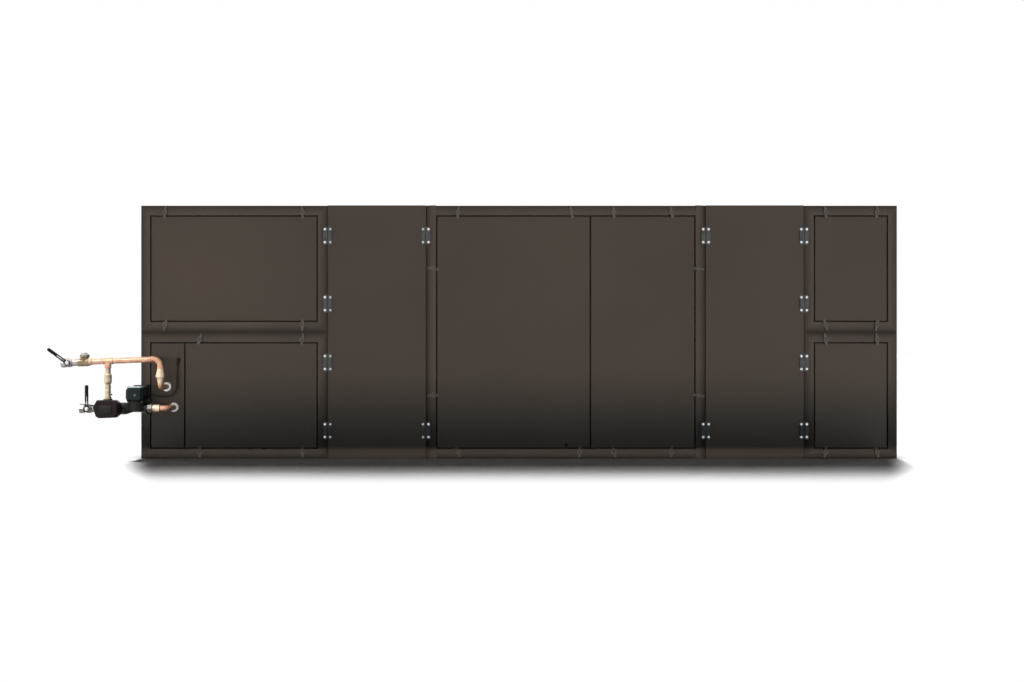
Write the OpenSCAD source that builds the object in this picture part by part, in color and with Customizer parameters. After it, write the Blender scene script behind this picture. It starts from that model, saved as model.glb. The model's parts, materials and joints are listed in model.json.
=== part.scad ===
// Modular air handling unit: two stacked sections at each end, a centre section with two
// inspection panels, and a plain section on either side of the centre. A hot-water group with
// shut-off valves, mixing valve and circulator hangs in front of the lower left section.
// Millimetres. The origin is on the floor under the middle of the casing, the front faces -Y.

/* [Casing] */
// Depth of the casing from front to back
casing_d = 1000; // [900:10:1300]
// Height of one stacked end section
deck_h = 632; // [600:2:760]
// Length of the two stacked sections at the left end
left_l = 936; // [860:2:1200]
// Length of each plain section beside the centre
plain_l = 489; // [400:1:700]
// Length of the centre section
centre_l = 1395; // [1200:5:1800]
// Length of the two stacked sections at the right end
right_l = 470; // [420:5:700]

/* [Frame profile] */
// Face width of the frame profile
bar_w = 50; // [46:1:60]
// Radius of the profile's rounded face
bar_r = 70; // [64:1:100]
// Flat strip of the profile beside the panel
bar_flat = 8; // [6:1:14]
// Width of the lip that a panel seats on
lip_w = 12; // [10:1:16]
// Thickness of that lip
lip_t = 8; // [5:1:10]

/* [Panels] */
// Thickness of the insulated panels
panel_t = 42; // [36:1:48]
// Gap around a panel
panel_gap = 6; // [3:0.5:8]
// Bevel along the panel edges
panel_bevel = 2; // [1:0.5:5]
// Width of the fixed cover over the heating coil, from the edge of the section
coil_cover_end = 223; // [210:1:260]
// Place of the split between the two centre panels, from the edge of the section
centre_split = 820; // [600:2:900]
// Diameter of the drain plug in the centre panel
drain_d = 15; // [10:1:20]

/* [Panel clamps] */
// Diameter of the clamp's hub
clamp_hub_d = 25; // [20:0.5:28]
// Height of the hub above the frame
clamp_hub_t = 13; // [9:0.5:16]
// Thickness of the clamp's arm
clamp_arm_t = 7; // [4:0.5:9]
// Reach of the arm over the panel, from the hub's centre
clamp_nose = 27; // [24:0.5:32]
// Reach of the arm's tail the other way
clamp_tail = 29; // [22:0.5:33]
// Distance of the hub's centre from the frame's outer edge
clamp_inset = 36; // [34:0.5:38]

/* [Section connectors] */
// Width of one lug
lug_w = 23; // [18:0.5:30]
// Height of one lug
lug_h = 88; // [80:1:100]
// Thickness of the lug's foot
lug_foot_t = 7; // [5:0.5:10]
// Height of the block between its two bolts
lug_block_h = 40; // [30:1:46]
// Thickness of that block
lug_block_t = 15; // [11:0.5:20]
// Gap between the two lugs of a pair
lug_gap = 2; // [1:0.5:4]

/* [End connections] */
// Face width of the duct frame in each open end
duct_frame_w = 40; // [34:1:50]
// Diameter of the duct frame's bolt holes
duct_hole_d = 9; // [7:0.5:11]
// Depth of the heating coil
coil_depth = 120; // [90:2:140]
// Spacing of the fin slots in the coil's face
fin_pitch = 14; // [12:0.5:20]
// Depth of the air filter
filter_depth = 48; // [40:1:80]
// Spacing of the filter's pleats
pleat_pitch = 32; // [24:1:40]
// Number of blades in each damper
blade_count = 4; // [3:1:6]

/* [Pipe group] */
// Distance of the pipes' centre lines from the casing's front
pipe_out = 110; // [104:1:130]
// Outside diameter of the copper pipe
pipe_d = 28; // [22:1:30]
// Bend radius of the copper pipe's centre line
bend_r = 36; // [32:1:44]
// Height of the upper line at the bypass
upper_z = 489; // [480:1:510]
// Fall of the upper line towards its open end, in degrees
line_fall = 2.3; // [0:0.1:4]
// Height where the upper line enters the casing
upper_entry_z = 360; // [345:1:364]
// Place where the upper line enters, from the casing's left edge
upper_entry_x = 132; // [124:1:138]
// Height of the lower line
lower_z = 257; // [250:1:262]
// Place where the lower line enters, from the casing's left edge
lower_entry_x = 169; // [166:1:178]
// Distance of the bypass beyond the casing's left edge
bypass_x = 126; // [120:1:132]
// Distance of the upper valve's stem beyond the casing's left edge
upper_stem_x = 314; // [309:1:322]
// Distance of the lower valve's stem beyond the casing's left edge
lower_stem_x = 218; // [214:1:222]
// Length of the valve levers, from the stem to the tip
lever_l = 116; // [90:1:125]
// Angle of the upper lever over the level
upper_lever_angle = 36; // [20:1:60]
// Diameter of the valve stems
stem_d = 10; // [8:0.5:12]
// Running clearance of a stem in its bonnet, on the radius
stem_clearance = 0.05; // [0.02:0.01:0.1]
// Length of the circulator between its pipe ends
pump_l = 130; // [124:1:136]
// Diameter of the circulator's cable
cable_d = 9; // [7:0.5:10]

/* [Hidden] */
$fn = 64;
total_l = left_l + 2 * plain_l + centre_l + right_l;
total_h = 2 * deck_h;
front_y = -casing_d / 2;
left_x = -total_l / 2;
left_plain_x = left_x + left_l;
centre_x = left_plain_x + plain_l;
right_plain_x = centre_x + centre_l;
right_x = right_plain_x + plain_l;
end_x = right_x + right_l;

// Profile: depth behind the face, and the rounded part of the face with its fall at the edge.
// The round face is centred on the panel's edge, and the flat strip cuts it off.
bar_d = panel_t + lip_t;
relief_over = 4;
arc_centre = sqrt(bar_r * bar_r - bar_flat * bar_flat);
arc_drop = arc_centre - sqrt(bar_r * bar_r - bar_w * bar_w);
panel_inset = bar_w + panel_gap;
deck_panel_h = deck_h - 2 * panel_inset;
full_panel_h = total_h - 2 * panel_inset;
deck_sink = 2;
cut = 1;

// Duct frames in the open ends.
duct_outer_w = casing_d - 2 * panel_inset;
duct_outer_h = deck_h - 2 * panel_inset;
duct_inner_w = duct_outer_w - 2 * duct_frame_w;
duct_inner_h = duct_outer_h - 2 * duct_frame_w;
core_play = 2;
core_inset = bar_w + lip_w + core_play;
core_w = casing_d - 2 * core_inset;
core_h = deck_h - 2 * core_inset;
core_frame = 34;

// Filter and coil behind the left duct frames.
media_t = 5;
media_margin = 4;
fin_slot_depth = 14;
fin_set_back = 10;

// Damper blades: thickness at the edge, at the fold and at the axis.
blade_edge_t = 4;
blade_fold_t = 8;
blade_axis_t = 16;
blade_fold = 14;
blade_seam = 1.5;
blade_pin_d = 12;
blade_pin_l = 3;
blade_pitch = duct_inner_h / blade_count;

// Drain plug, from the split between the centre panels and from the panel's lower edge.
drain_x = centre_x + centre_split - 120;
drain_z = panel_inset + 14;
drain_hole_t = 10;
drain_lip = 2;

// Clamps: distance of the hubs from the ends of the panel, and from the split of the centre panels.
left_clamp_end = 70;
cover_clamp_end = 76;
centre_clamp_end = 105;
centre_clamp_far_end = 115;
split_clamp_left = 94;
split_clamp_right = 117;
drain_clamp_end = 54;
right_clamp_end = 51;
clamp_nose_w = 14;
clamp_tail_w = 9;
clamp_socket_d = 12;
clamp_socket_t = 6;

// Connectors: heights on a stacked section, from its floor, and on a full section.
lug_low = 141;
lug_high = deck_h - 152;
lug_corner = 5;
lug_bolt_x = 13.5;
lug_bolt_z = 32;
lug_bolt_d = 8;

// Pipe group, along the casing from its left edge.
pipe_y = front_y - pipe_out;
upper_entry = left_x + upper_entry_x;
lower_entry = left_x + lower_entry_x;
bypass = left_x - bypass_x;
upper_stem = left_x - upper_stem_x;
lower_stem = left_x - lower_stem_x;
coil_side_y = front_y + core_inset;
rosette_d = 47;
rosette_t = 7;
rosette_taper = 8;
pipe_clearance = 0.3;
panel_hole_d = pipe_d + 6;
sleeve_d = pipe_d + 4;
tee_reach = 26;
bypass_top = upper_z - 34;
elbow_z = upper_z + (upper_entry - bend_r - bypass) * tan(line_fall);
elbow_socket_l = 11;
union_top = elbow_z - bend_r - elbow_socket_l;
union_cone_h = 36;
union_d = 47;
union_lip_h = 6;
union_ring_h = 4;
union_ring_d = 35;
nipple_d = 31;
nipple_bottom = upper_entry_z + bend_r - 6;
entry_bend_r = nipple_bottom - upper_entry_z;

// Check valve in the bypass, measured up from the mixing valve.
bypass_d = 26;
bypass_barrel_d = 37;
bypass_barrel_low = 73;
bypass_barrel_h = 53;
bypass_cone_h = 8;
bypass_collar_d = 33;
bypass_collar_h = 12;
bypass_ring_d = 30;
bypass_ring_h = 5;
bypass_ring_low = 34;
bypass_ring_high = 57;
test_plug_d = 9;
test_plug_l = 20;
test_plug_z = 22;

// Mixing valve and its actuator.
mixing_reach_left = 63;
mixing_reach_right = 77;
mixing_d = 44;
mixing_top = 46;
mixing_body_d = 70;
mixing_body_t = 60;
mixing_collar_d = 50;
mixing_collar_l = 16;
actuator_neck_d = 48;
actuator_neck_l = 36;
actuator_shift = 13;
actuator_t = 36;
actuator_cap_t = 12;
actuator_cap_scale = 0.88;

// Circulator.
union_nut_l = 25;
union_nut_d = 50;
port_d = 36;
union_bore_d = port_d + 2 * pipe_clearance;
pump_x = bypass + mixing_reach_right + pump_l / 2;
pump_left = pump_x - pump_l / 2;
pump_right = pump_x + pump_l / 2;
port_flare_d = 58;
port_waist_d = 24;
volute_d = 92;
volute_low = 10;
volute_top = 46;
volute_flange_d = 98;
volute_flange_t = 10;
motor_w = 82;
motor_d = 92;
motor_h = 56;
motor_corner = 12;
motor_back = 34;
motor_lid_t = 8;
motor_lid_margin = 5;
box_w = 66;
box_d = 42;
box_h = 65;
box_right = pump_x + motor_w / 2;
pump_nipple_l = 35;
pump_nipple_d = 36;

// Shut-off valves: stem bonnet and lever, measured from the line's axis towards the viewer.
ball_d = 45;
ball_l = 36;
ball_shoulder_d = 37;
valve_hex_d = 46;
valve_hex_l = 22;
valve_body_d = 36;
valve_body_l = 90;
bonnet_d = 22;
bonnet_top = 33;
bonnet_floor = 16;
lever_gap = 1;
lever_t = 4;
lever_root_w = 20;
lever_tip_w = 13;
sleeve_t = 9;
sleeve_over = 1;
sleeve_start = 34;
lever_slot_w = 4.5;
lever_slot_start = 16;
lever_slot_end = 62;
upper_valve_left = 38;
lower_valve_left = 44;
valve_thread_r = 15.15;
valve_thread_l = 19;

// Strainer behind the upper valve's ball, along the line from the stem.
strainer_x = 75;
strainer_start = 44;
strainer_cone = 92;
strainer_end = 110;
strainer_body_d = 42;
strainer_cap_d = 50;
strainer_cap_h = 8;
strainer_top = 34;
strainer_crown_d = 22;
strainer_crown_h = 12;

// Cable glands: a straight one on the terminal box, and an elbow on the coil cover.
gland_l = 18;
gland_d = 18;
gland_hex_d = 22;
gland_hex_l = 7;
gland_mouth_d = cable_d + 3;
box_gland_y = pipe_y + 45;
box_gland_z = lower_z + 57;
wall_gland_x = left_x + 189;
wall_gland_z = 494;
wall_gland_out = 15;
wall_gland_cone = 12;
wall_gland_up = 10;
wall_gland_hex_d = 24;
wall_gland_hex_l = 6;
wall_gland_d = 16;

// Cable of the circulator, from its own gland up to the gland on the coil cover.
cable_sides = 10;
cable_route = [
    [-1814.5, -565, 314], [-1803, -565, 314], [-1791, -564.5, 313], [-1779, -562.5, 313],
    [-1767, -559.5, 312], [-1756, -556.5, 312], [-1746, -553, 312], [-1734, -548.5, 313.5],
    [-1723, -543.5, 318], [-1714, -538.5, 325.5], [-1706.5, -534, 335], [-1702, -529, 345.5],
    [-1700.5, -525, 357.5], [-1700.5, -521, 370], [-1700.5, -517.5, 384], [-1700.5, -515.5, 398],
    [-1700.5, -515, 412], [-1700.5, -515, 431], [-1700.5, -515, 450], [-1700.5, -515, 470]
];

// Colours
casing_colour = "#4c4541";
frame_colour = "#554d48";
steel_colour = "#b9bcbe";
lug_colour = "#6d7174";
copper_colour = "#c77b4a";
brass_colour = "#d9c27c";
nickel_colour = "#d6d2c8";
cast_colour = "#2e2f2a";
teal_colour = "#1f3336";
black_colour = "#1b1b1c";
white_colour = "#f2f0ec";
media_colour = "#e4e2d8";

// Turns a shape that stands on the XY plane so that it points towards the viewer
module face_viewer() {
    rotate([90, 0, 0]) children();
}

// Turns a shape that stands on the XY plane so that it points along the casing
module face_right() {
    rotate([0, 90, 0]) children();
}

// Extrudes an outline of depth and height along the casing
module along_casing(l) {
    rotate([90, 0, 90]) linear_extrude(l) children();
}

// The sliver between a square edge and the rounded face of the profile, run on past the edge
module face_relief() {
    difference() {
        translate([-relief_over, -relief_over])
            square([bar_w + relief_over, arc_drop + 3 * relief_over]);
        translate([bar_w, arc_centre]) circle(bar_r);
    }
}

// Section through a framed module: a rectangle with the profile's round faces front and back
module moulded_outline(w) {
    difference() {
        square([w, casing_d]);
        for (side = [0, 1], rear = [0, 1])
            translate([side * w, rear * casing_d])
                mirror([side, 0]) mirror([0, rear]) face_relief();
    }
}

// Round faces all the way round the front and back, meeting in mitres
module mitred_envelope(l, h) {
    intersection() {
        linear_extrude(h) moulded_outline(l);
        along_casing(l) mirror([1, -1]) moulded_outline(h);
    }
}

// Round stiles of full height, with round rails between them
module butted_envelope(l, h) {
    intersection() {
        linear_extrude(h) moulded_outline(l);
        union() {
            translate([bar_w, 0, 0]) along_casing(l - 2 * bar_w) mirror([1, -1]) moulded_outline(h);
            for (x = [0, l - bar_w]) translate([x, 0, 0]) cube([bar_w, casing_d, h]);
        }
    }
}

// A panel seat: a pocket for the panel, and the opening inside its lip
module seat_cut(w, h) {
    translate([0, -cut, 0]) cube([w, panel_t + cut, h]);
    translate([lip_w, -cut, lip_w]) cube([w - 2 * lip_w, bar_d + 2 * cut, h - 2 * lip_w]);
}

// The hollow of a framed module with its panel seats; an end is either open or a panel seat
module frame_hollow(l, h, seat_left, seat_right) {
    win_l = l - 2 * bar_w;
    win_d = casing_d - 2 * bar_w;
    win_h = h - 2 * bar_w;
    translate([bar_d, bar_d, bar_d]) cube([l - 2 * bar_d, casing_d - 2 * bar_d, h - 2 * bar_d]);
    translate([bar_w, 0, bar_w]) seat_cut(win_l, win_h);
    translate([bar_w, casing_d, bar_w]) mirror([0, 1, 0]) seat_cut(win_l, win_h);
    translate([bar_w, bar_w, h]) rotate([-90, 0, 0]) seat_cut(win_l, win_d);
    translate([bar_w, casing_d - bar_w, 0]) rotate([90, 0, 0]) seat_cut(win_l, win_d);
    if (seat_left) translate([0, casing_d - bar_w, bar_w]) rotate([0, 0, -90]) seat_cut(win_d, win_h);
    else translate([-cut, bar_w, bar_w]) cube([bar_d + 2 * cut, win_d, win_h]);
    if (seat_right) translate([l, bar_w, bar_w]) rotate([0, 0, 90]) seat_cut(win_d, win_h);
    else translate([l - bar_d - cut, bar_w, bar_w]) cube([bar_d + 2 * cut, win_d, win_h]);
}

// Hidden upright behind the split between two panels
module split_post(x, h) {
    translate([x - lip_w, panel_t, bar_w]) cube([2 * lip_w, lip_t, h - 2 * bar_w]);
}

// Frame of an end section with mitred corners
module end_frame(l, seat_left, seat_right) {
    difference() {
        mitred_envelope(l, deck_h);
        frame_hollow(l, deck_h, seat_left, seat_right);
    }
}

// Section through a panel, with its face edges bevelled; sink sets the face back from the frame
module panel_outline(w, sink) {
    polygon([
        [panel_bevel, sink], [w - panel_bevel, sink], [w, panel_bevel + sink],
        [w, panel_t], [0, panel_t], [0, panel_bevel + sink]
    ]);
}

// An upright panel with its face towards the viewer
module panel(w, h, sink = 0) {
    intersection() {
        linear_extrude(h) panel_outline(w, sink);
        along_casing(w) mirror([1, -1]) panel_outline(h, sink);
    }
}

// Panels of a framed section, set into its seats
module front_panel(x, z, w, h) {
    translate([x, front_y, z]) panel(w, h);
}

module back_panel(x, z, w, h) {
    translate([x, -front_y, z]) mirror([0, 1, 0]) panel(w, h);
}

module roof_panel(x, top, w, margin, sink = 0) {
    translate([x, front_y + margin, top]) rotate([-90, 0, 0]) panel(w, casing_d - 2 * margin, sink);
}

module floor_panel(x, bottom, w, margin, sink = 0) {
    translate([x, -front_y - margin, bottom]) rotate([90, 0, 0]) panel(w, casing_d - 2 * margin, sink);
}

// Frames
module left_upper_frame() {
    color(frame_colour) translate([left_x, front_y, deck_h]) end_frame(left_l, true, false);
}

module left_lower_frame() {
    color(frame_colour) translate([left_x, front_y, 0]) {
        end_frame(left_l, true, false);
        split_post(coil_cover_end, deck_h);
    }
}

module centre_frame() {
    color(frame_colour) translate([centre_x, front_y, 0]) {
        difference() {
            butted_envelope(centre_l, total_h);
            frame_hollow(centre_l, total_h, false, false);
        }
        split_post(centre_split, total_h);
    }
}

module right_upper_frame() {
    color(frame_colour) translate([right_x, front_y, deck_h]) end_frame(right_l, false, true);
}

module right_lower_frame() {
    color(frame_colour) translate([right_x, front_y, 0]) end_frame(right_l, false, true);
}

// Front panels
module left_upper_panel() {
    color(casing_colour)
        front_panel(left_x + panel_inset, deck_h + panel_inset, left_l - 2 * panel_inset, deck_panel_h);
}

// Fixed cover over the coil, with the two pipe holes
module coil_cover_panel() {
    color(casing_colour) difference() {
        front_panel(left_x + panel_inset, panel_inset,
            coil_cover_end - panel_gap / 2 - panel_inset, deck_panel_h);
        for (hole = [[upper_entry, upper_entry_z], [lower_entry, lower_z]])
            translate([hole[0], front_y + panel_t + cut, hole[1]])
                face_viewer() cylinder(d = panel_hole_d, h = panel_t + 2 * cut);
    }
}

module left_lower_panel() {
    start = coil_cover_end + panel_gap / 2;
    color(casing_colour)
        front_panel(left_x + start, panel_inset, left_l - panel_inset - start, deck_panel_h);
}

module left_plain_panel() {
    color(casing_colour) front_panel(left_plain_x, 0, plain_l, total_h);
}

module centre_left_panel() {
    color(casing_colour) difference() {
        front_panel(centre_x + panel_inset, panel_inset,
            centre_split - panel_gap / 2 - panel_inset, full_panel_h);
        translate([drain_x, front_y + drain_hole_t, drain_z])
            face_viewer() cylinder(d = drain_d, h = drain_hole_t + cut);
    }
}

module centre_right_panel() {
    start = centre_split + panel_gap / 2;
    color(casing_colour)
        front_panel(centre_x + start, panel_inset, centre_l - panel_inset - start, full_panel_h);
}

module right_plain_panel() {
    color(casing_colour) front_panel(right_plain_x, 0, plain_l, total_h);
}

module right_upper_panel() {
    color(casing_colour)
        front_panel(right_x + panel_inset, deck_h + panel_inset, right_l - 2 * panel_inset, deck_panel_h);
}

module right_lower_panel() {
    color(casing_colour)
        front_panel(right_x + panel_inset, panel_inset, right_l - 2 * panel_inset, deck_panel_h);
}

// Back, roof and floor
module back_panels() {
    color(casing_colour) {
        for (z = [panel_inset, deck_h + panel_inset]) {
            back_panel(left_x + panel_inset, z, left_l - 2 * panel_inset, deck_panel_h);
            back_panel(right_x + panel_inset, z, right_l - 2 * panel_inset, deck_panel_h);
        }
        back_panel(centre_x + panel_inset, panel_inset, centre_l - 2 * panel_inset, full_panel_h);
        for (x = [left_plain_x, right_plain_x]) back_panel(x, 0, plain_l, total_h);
    }
}

module roof_panels() {
    color(casing_colour) {
        roof_panel(left_x + panel_inset, total_h, left_l - 2 * panel_inset, panel_inset);
        roof_panel(right_x + panel_inset, total_h, right_l - 2 * panel_inset, panel_inset);
        roof_panel(centre_x + panel_inset, total_h, centre_l - 2 * panel_inset, panel_inset);
        for (x = [left_plain_x, right_plain_x]) roof_panel(x, total_h, plain_l, panel_t);
    }
}

module floor_panels() {
    color(casing_colour) {
        floor_panel(left_x + panel_inset, 0, left_l - 2 * panel_inset, panel_inset);
        floor_panel(right_x + panel_inset, 0, right_l - 2 * panel_inset, panel_inset);
        floor_panel(centre_x + panel_inset, 0, centre_l - 2 * panel_inset, panel_inset);
        for (x = [left_plain_x, right_plain_x]) floor_panel(x, 0, plain_l, panel_t);
    }
}

// Roof of the lower section and floor of the upper one, where two sections are stacked
module deck_pair(x, l) {
    roof_panel(x + panel_inset, deck_h, l - 2 * panel_inset, panel_inset, deck_sink);
    floor_panel(x + panel_inset, deck_h, l - 2 * panel_inset, panel_inset, deck_sink);
}

module left_deck_panels() {
    color(casing_colour) deck_pair(left_x, left_l);
}

module right_deck_panels() {
    color(casing_colour) deck_pair(right_x, right_l);
}

// Turn clamp with its nose towards +Z, on the front plane
module clamp(angle) {
    rotate([0, angle, 0]) difference() {
        union() {
            face_viewer() cylinder(d = clamp_hub_d, h = clamp_hub_t);
            face_viewer() linear_extrude(clamp_arm_t) polygon([
                [-clamp_tail_w / 2, -clamp_tail], [clamp_tail_w / 2, -clamp_tail],
                [clamp_nose_w / 2, 0], [clamp_nose_w / 2, clamp_nose],
                [-clamp_nose_w / 2, clamp_nose], [-clamp_nose_w / 2, 0]
            ]);
        }
        translate([0, clamp_socket_t - clamp_hub_t, 0])
            face_viewer() cylinder(d = clamp_socket_d, h = clamp_socket_t + cut);
    }
}

// A row of clamps along the top or the bottom rail of a section, each with its own lean
module clamp_row(places, rail_z, inward, leans) {
    for (i = [0 : len(places) - 1])
        translate([places[i], front_y, rail_z + inward * clamp_inset])
            clamp((inward > 0 ? 0 : 180) + leans[i]);
}

// Clamps on the stiles of the centre section
module clamp_column(stile_x, inward, leans) {
    for (i = [0, 1])
        translate([stile_x + inward * clamp_inset, front_y, total_h * (1 + 2 * i) / 4])
            clamp(inward * 90 + leans[i]);
}

module panel_clamps() {
    left_places = [
        left_x + panel_inset + left_clamp_end,
        left_plain_x - panel_inset - left_clamp_end
    ];
    lower_left_places = [left_x + coil_cover_end + cover_clamp_end, left_places[1]];
    right_places = [right_x + panel_inset + right_clamp_end, end_x - panel_inset - right_clamp_end];
    split_x = centre_x + centre_split;
    centre_top = [
        centre_x + panel_inset + centre_clamp_end, split_x - split_clamp_left,
        split_x + split_clamp_right, right_plain_x - panel_inset - centre_clamp_far_end
    ];
    centre_bottom = [centre_top[0], split_x - drain_clamp_end, centre_top[2], centre_top[3]];
    color(frame_colour) {
        clamp_row(left_places, total_h, -1, [5, -6]);
        clamp_row(left_places, deck_h, 1, [13, 0]);
        clamp_row(lower_left_places, deck_h, -1, [16, 9]);
        clamp_row(lower_left_places, 0, 1, [0, -4]);
        clamp_row(centre_top, total_h, -1, [7, -12, -4, -15]);
        clamp_row(centre_bottom, 0, 1, [-18, 3, -16, 4]);
        clamp_column(centre_x, 1, [-3, 10]);
        clamp_column(right_plain_x, -1, [8, 6]);
        clamp_row(right_places, total_h, -1, [-8, 5]);
        clamp_row(right_places, deck_h, 1, [-14, 11]);
        clamp_row(right_places, deck_h, -1, [-10, -7]);
        clamp_row(right_places, 0, 1, [10, -14]);
    }
}

// One lug of a section connector, reaching away from the joint along +X.
// On a framed section its foot follows the round face of the profile.
module lug(framed) {
    start = lug_gap / 2;
    difference() {
        union() {
            face_viewer() linear_extrude(lug_foot_t) polygon([
                [start, -lug_h / 2], [lug_w - lug_corner, -lug_h / 2],
                [lug_w, -lug_h / 2 + lug_corner], [lug_w, lug_h / 2 - lug_corner],
                [lug_w - lug_corner, lug_h / 2], [start, lug_h / 2]
            ]);
            face_viewer() linear_extrude(lug_block_t) polygon([
                [start, -lug_block_h / 2], [lug_w - lug_corner, -lug_block_h / 2],
                [lug_w, 0], [lug_w - lug_corner, lug_block_h / 2], [start, lug_block_h / 2]
            ]);
            if (framed)
                translate([start, -cut, -lug_h / 2 + lug_corner])
                    cube([lug_w - start, arc_drop + cut, lug_h - 2 * lug_corner]);
        }
        if (framed) translate([bar_w, arc_centre, -lug_h]) cylinder(r = bar_r, h = 2 * lug_h);
        for (z = [-lug_bolt_z, lug_bolt_z])
            translate([lug_bolt_x, -lug_foot_t / 2, z])
                face_viewer() cylinder(d = lug_bolt_d, h = lug_foot_t);
    }
}

// A pair of lugs across a joint, with the framed section on the left or on the right
module connector(x, z, framed_left) {
    translate([x, front_y, z]) {
        lug(!framed_left);
        mirror([1, 0, 0]) lug(framed_left);
    }
}

module connectors() {
    for (base = [0, deck_h], z = [lug_low, lug_high]) {
        connector(left_plain_x, base + z, true);
        connector(right_x, base + z, false);
    }
    for (z = [lug_low, deck_h + lug_high]) {
        connector(centre_x, z, false);
        connector(right_plain_x, z, true);
    }
}

module front_connectors() {
    color(lug_colour) connectors();
}

module back_connectors() {
    color(lug_colour) mirror([0, 1, 0]) connectors();
}

// Duct frame with corner bolt holes, its face towards -X
module duct_frame() {
    difference() {
        translate([0, -duct_outer_w / 2, 0]) cube([panel_t, duct_outer_w, duct_outer_h]);
        translate([-cut, -duct_inner_w / 2, duct_frame_w])
            cube([panel_t + 2 * cut, duct_inner_w, duct_inner_h]);
        for (side = [-1, 1], z = [duct_frame_w / 2, duct_outer_h - duct_frame_w / 2])
            translate([-cut, side * (duct_outer_w - duct_frame_w) / 2, z])
                face_right() cylinder(d = duct_hole_d, h = panel_t + 2 * cut);
    }
}

module left_duct_frames() {
    color(steel_colour)
        for (base = [0, deck_h]) translate([left_x, 0, base + panel_inset]) duct_frame();
}

module right_duct_frames() {
    color(steel_colour)
        for (base = [0, deck_h])
            translate([end_x, 0, base + panel_inset]) mirror([1, 0, 0]) duct_frame();
}

// Rectangular border of the filter and the coil, behind a duct frame
module core_border(depth) {
    difference() {
        translate([0, -core_w / 2, 0]) cube([depth, core_w, core_h]);
        translate([-cut, -core_w / 2 + core_frame, core_frame])
            cube([depth + 2 * cut, core_w - 2 * core_frame, core_h - 2 * core_frame]);
    }
}

// Pleated filter: a folded sheet of even thickness between the borders
module air_filter() {
    media_w = core_w - 2 * core_frame;
    pleats = floor(media_w / pleat_pitch);
    pitch = media_w / pleats;
    deep = filter_depth - media_t - media_margin;
    fold = [for (i = [0 : 2 * pleats]) [i % 2 == 0 ? media_margin : deep, -media_w / 2 + i * pitch / 2]];
    back = [for (i = [0 : 2 * pleats]) fold[2 * pleats - i] + [media_t, 0]];
    color(media_colour) translate([left_x + panel_t, 0, deck_h + core_inset]) {
        core_border(filter_depth);
        translate([0, 0, core_frame - cut])
            linear_extrude(core_h - 2 * core_frame + 2 * cut) polygon(concat(fold, back));
    }
}

// Heating coil: a sheet border round a block of upright fins
module heating_coil() {
    fin_w = core_w - 2 * core_frame;
    fins = floor(fin_w / fin_pitch);
    pitch = fin_w / fins;
    color(steel_colour) translate([left_x + panel_t, 0, core_inset]) {
        core_border(coil_depth);
        difference() {
            translate([fin_set_back, -fin_w / 2 - cut, core_frame - cut])
                cube([coil_depth - 2 * fin_set_back, fin_w + 2 * cut, core_h - 2 * core_frame + 2 * cut]);
            for (i = [0 : fins - 1])
                translate([fin_set_back - cut, -fin_w / 2 + i * pitch + pitch / 4, core_frame])
                    cube([fin_slot_depth + cut, pitch / 2, core_h - 2 * core_frame]);
        }
    }
}

// Closed damper blades between the sides of a duct frame, each on its two pins
module damper_blades(base) {
    blade_l = duct_inner_w - 2 * blade_pin_l;
    half = (blade_pitch - blade_seam) / 2;
    fold = half - blade_fold;
    right = [
        [blade_edge_t / 2, -half], [blade_fold_t / 2, -fold], [blade_axis_t / 2, 0],
        [blade_fold_t / 2, fold], [blade_edge_t / 2, half]
    ];
    left = [for (p = right) -p];
    for (i = [0 : blade_count - 1])
        translate([end_x - panel_t / 2, 0, base + panel_inset + duct_frame_w + (i + 0.5) * blade_pitch]) {
            rotate([90, 0, 0]) translate([0, 0, -blade_l / 2])
                linear_extrude(blade_l) polygon(concat(right, left));
            translate([0, duct_inner_w / 2, 0])
                rotate([90, 0, 0]) cylinder(d = blade_pin_d, h = duct_inner_w);
        }
}

module upper_damper_blades() {
    color(steel_colour) damper_blades(deck_h);
}

module lower_damper_blades() {
    color(steel_colour) damper_blades(0);
}

// Quarter bend of the copper pipe, from the +X side to the +Y side of its centre
module bend(r) {
    rotate_extrude(angle = 90) translate([r, 0]) circle(d = pipe_d);
}

// Places a shape in the upper line's own frame: the tee at the origin and the run along X
module on_upper_line() {
    translate([bypass, pipe_y, upper_z]) rotate([0, -line_fall, 0]) children();
}

// Upper line: from the strainer valve over the bypass tee and down to the union, then into the coil
module upper_pipe() {
    line_start = upper_stem + strainer_end - bypass;
    line_end = (upper_entry - bend_r - elbow_socket_l / 2 - bypass) / cos(line_fall);
    color(copper_colour) {
        on_upper_line() {
            translate([line_start, 0, 0]) face_right() cylinder(d = pipe_d, h = line_end - line_start);
            translate([-tee_reach, 0, 0]) face_right() cylinder(d = sleeve_d, h = 2 * tee_reach);
        }
        translate([bypass, pipe_y, bypass_top]) cylinder(d = sleeve_d, h = upper_z - bypass_top);
        translate([upper_entry - bend_r - elbow_socket_l, pipe_y, elbow_z])
            face_right() cylinder(d = sleeve_d, h = elbow_socket_l);
        translate([upper_entry - bend_r, pipe_y, elbow_z - bend_r]) rotate([90, 0, 0]) bend(bend_r);
        translate([upper_entry, pipe_y, union_top]) cylinder(d = sleeve_d, h = elbow_socket_l);
        translate([upper_entry, pipe_y + entry_bend_r, nipple_bottom])
            rotate([90, 0, 90]) rotate([0, 0, 180]) bend(entry_bend_r);
        translate([upper_entry, coil_side_y, upper_entry_z]) face_viewer()
            cylinder(d = pipe_d, h = coil_side_y - pipe_y - entry_bend_r);
    }
}

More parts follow.
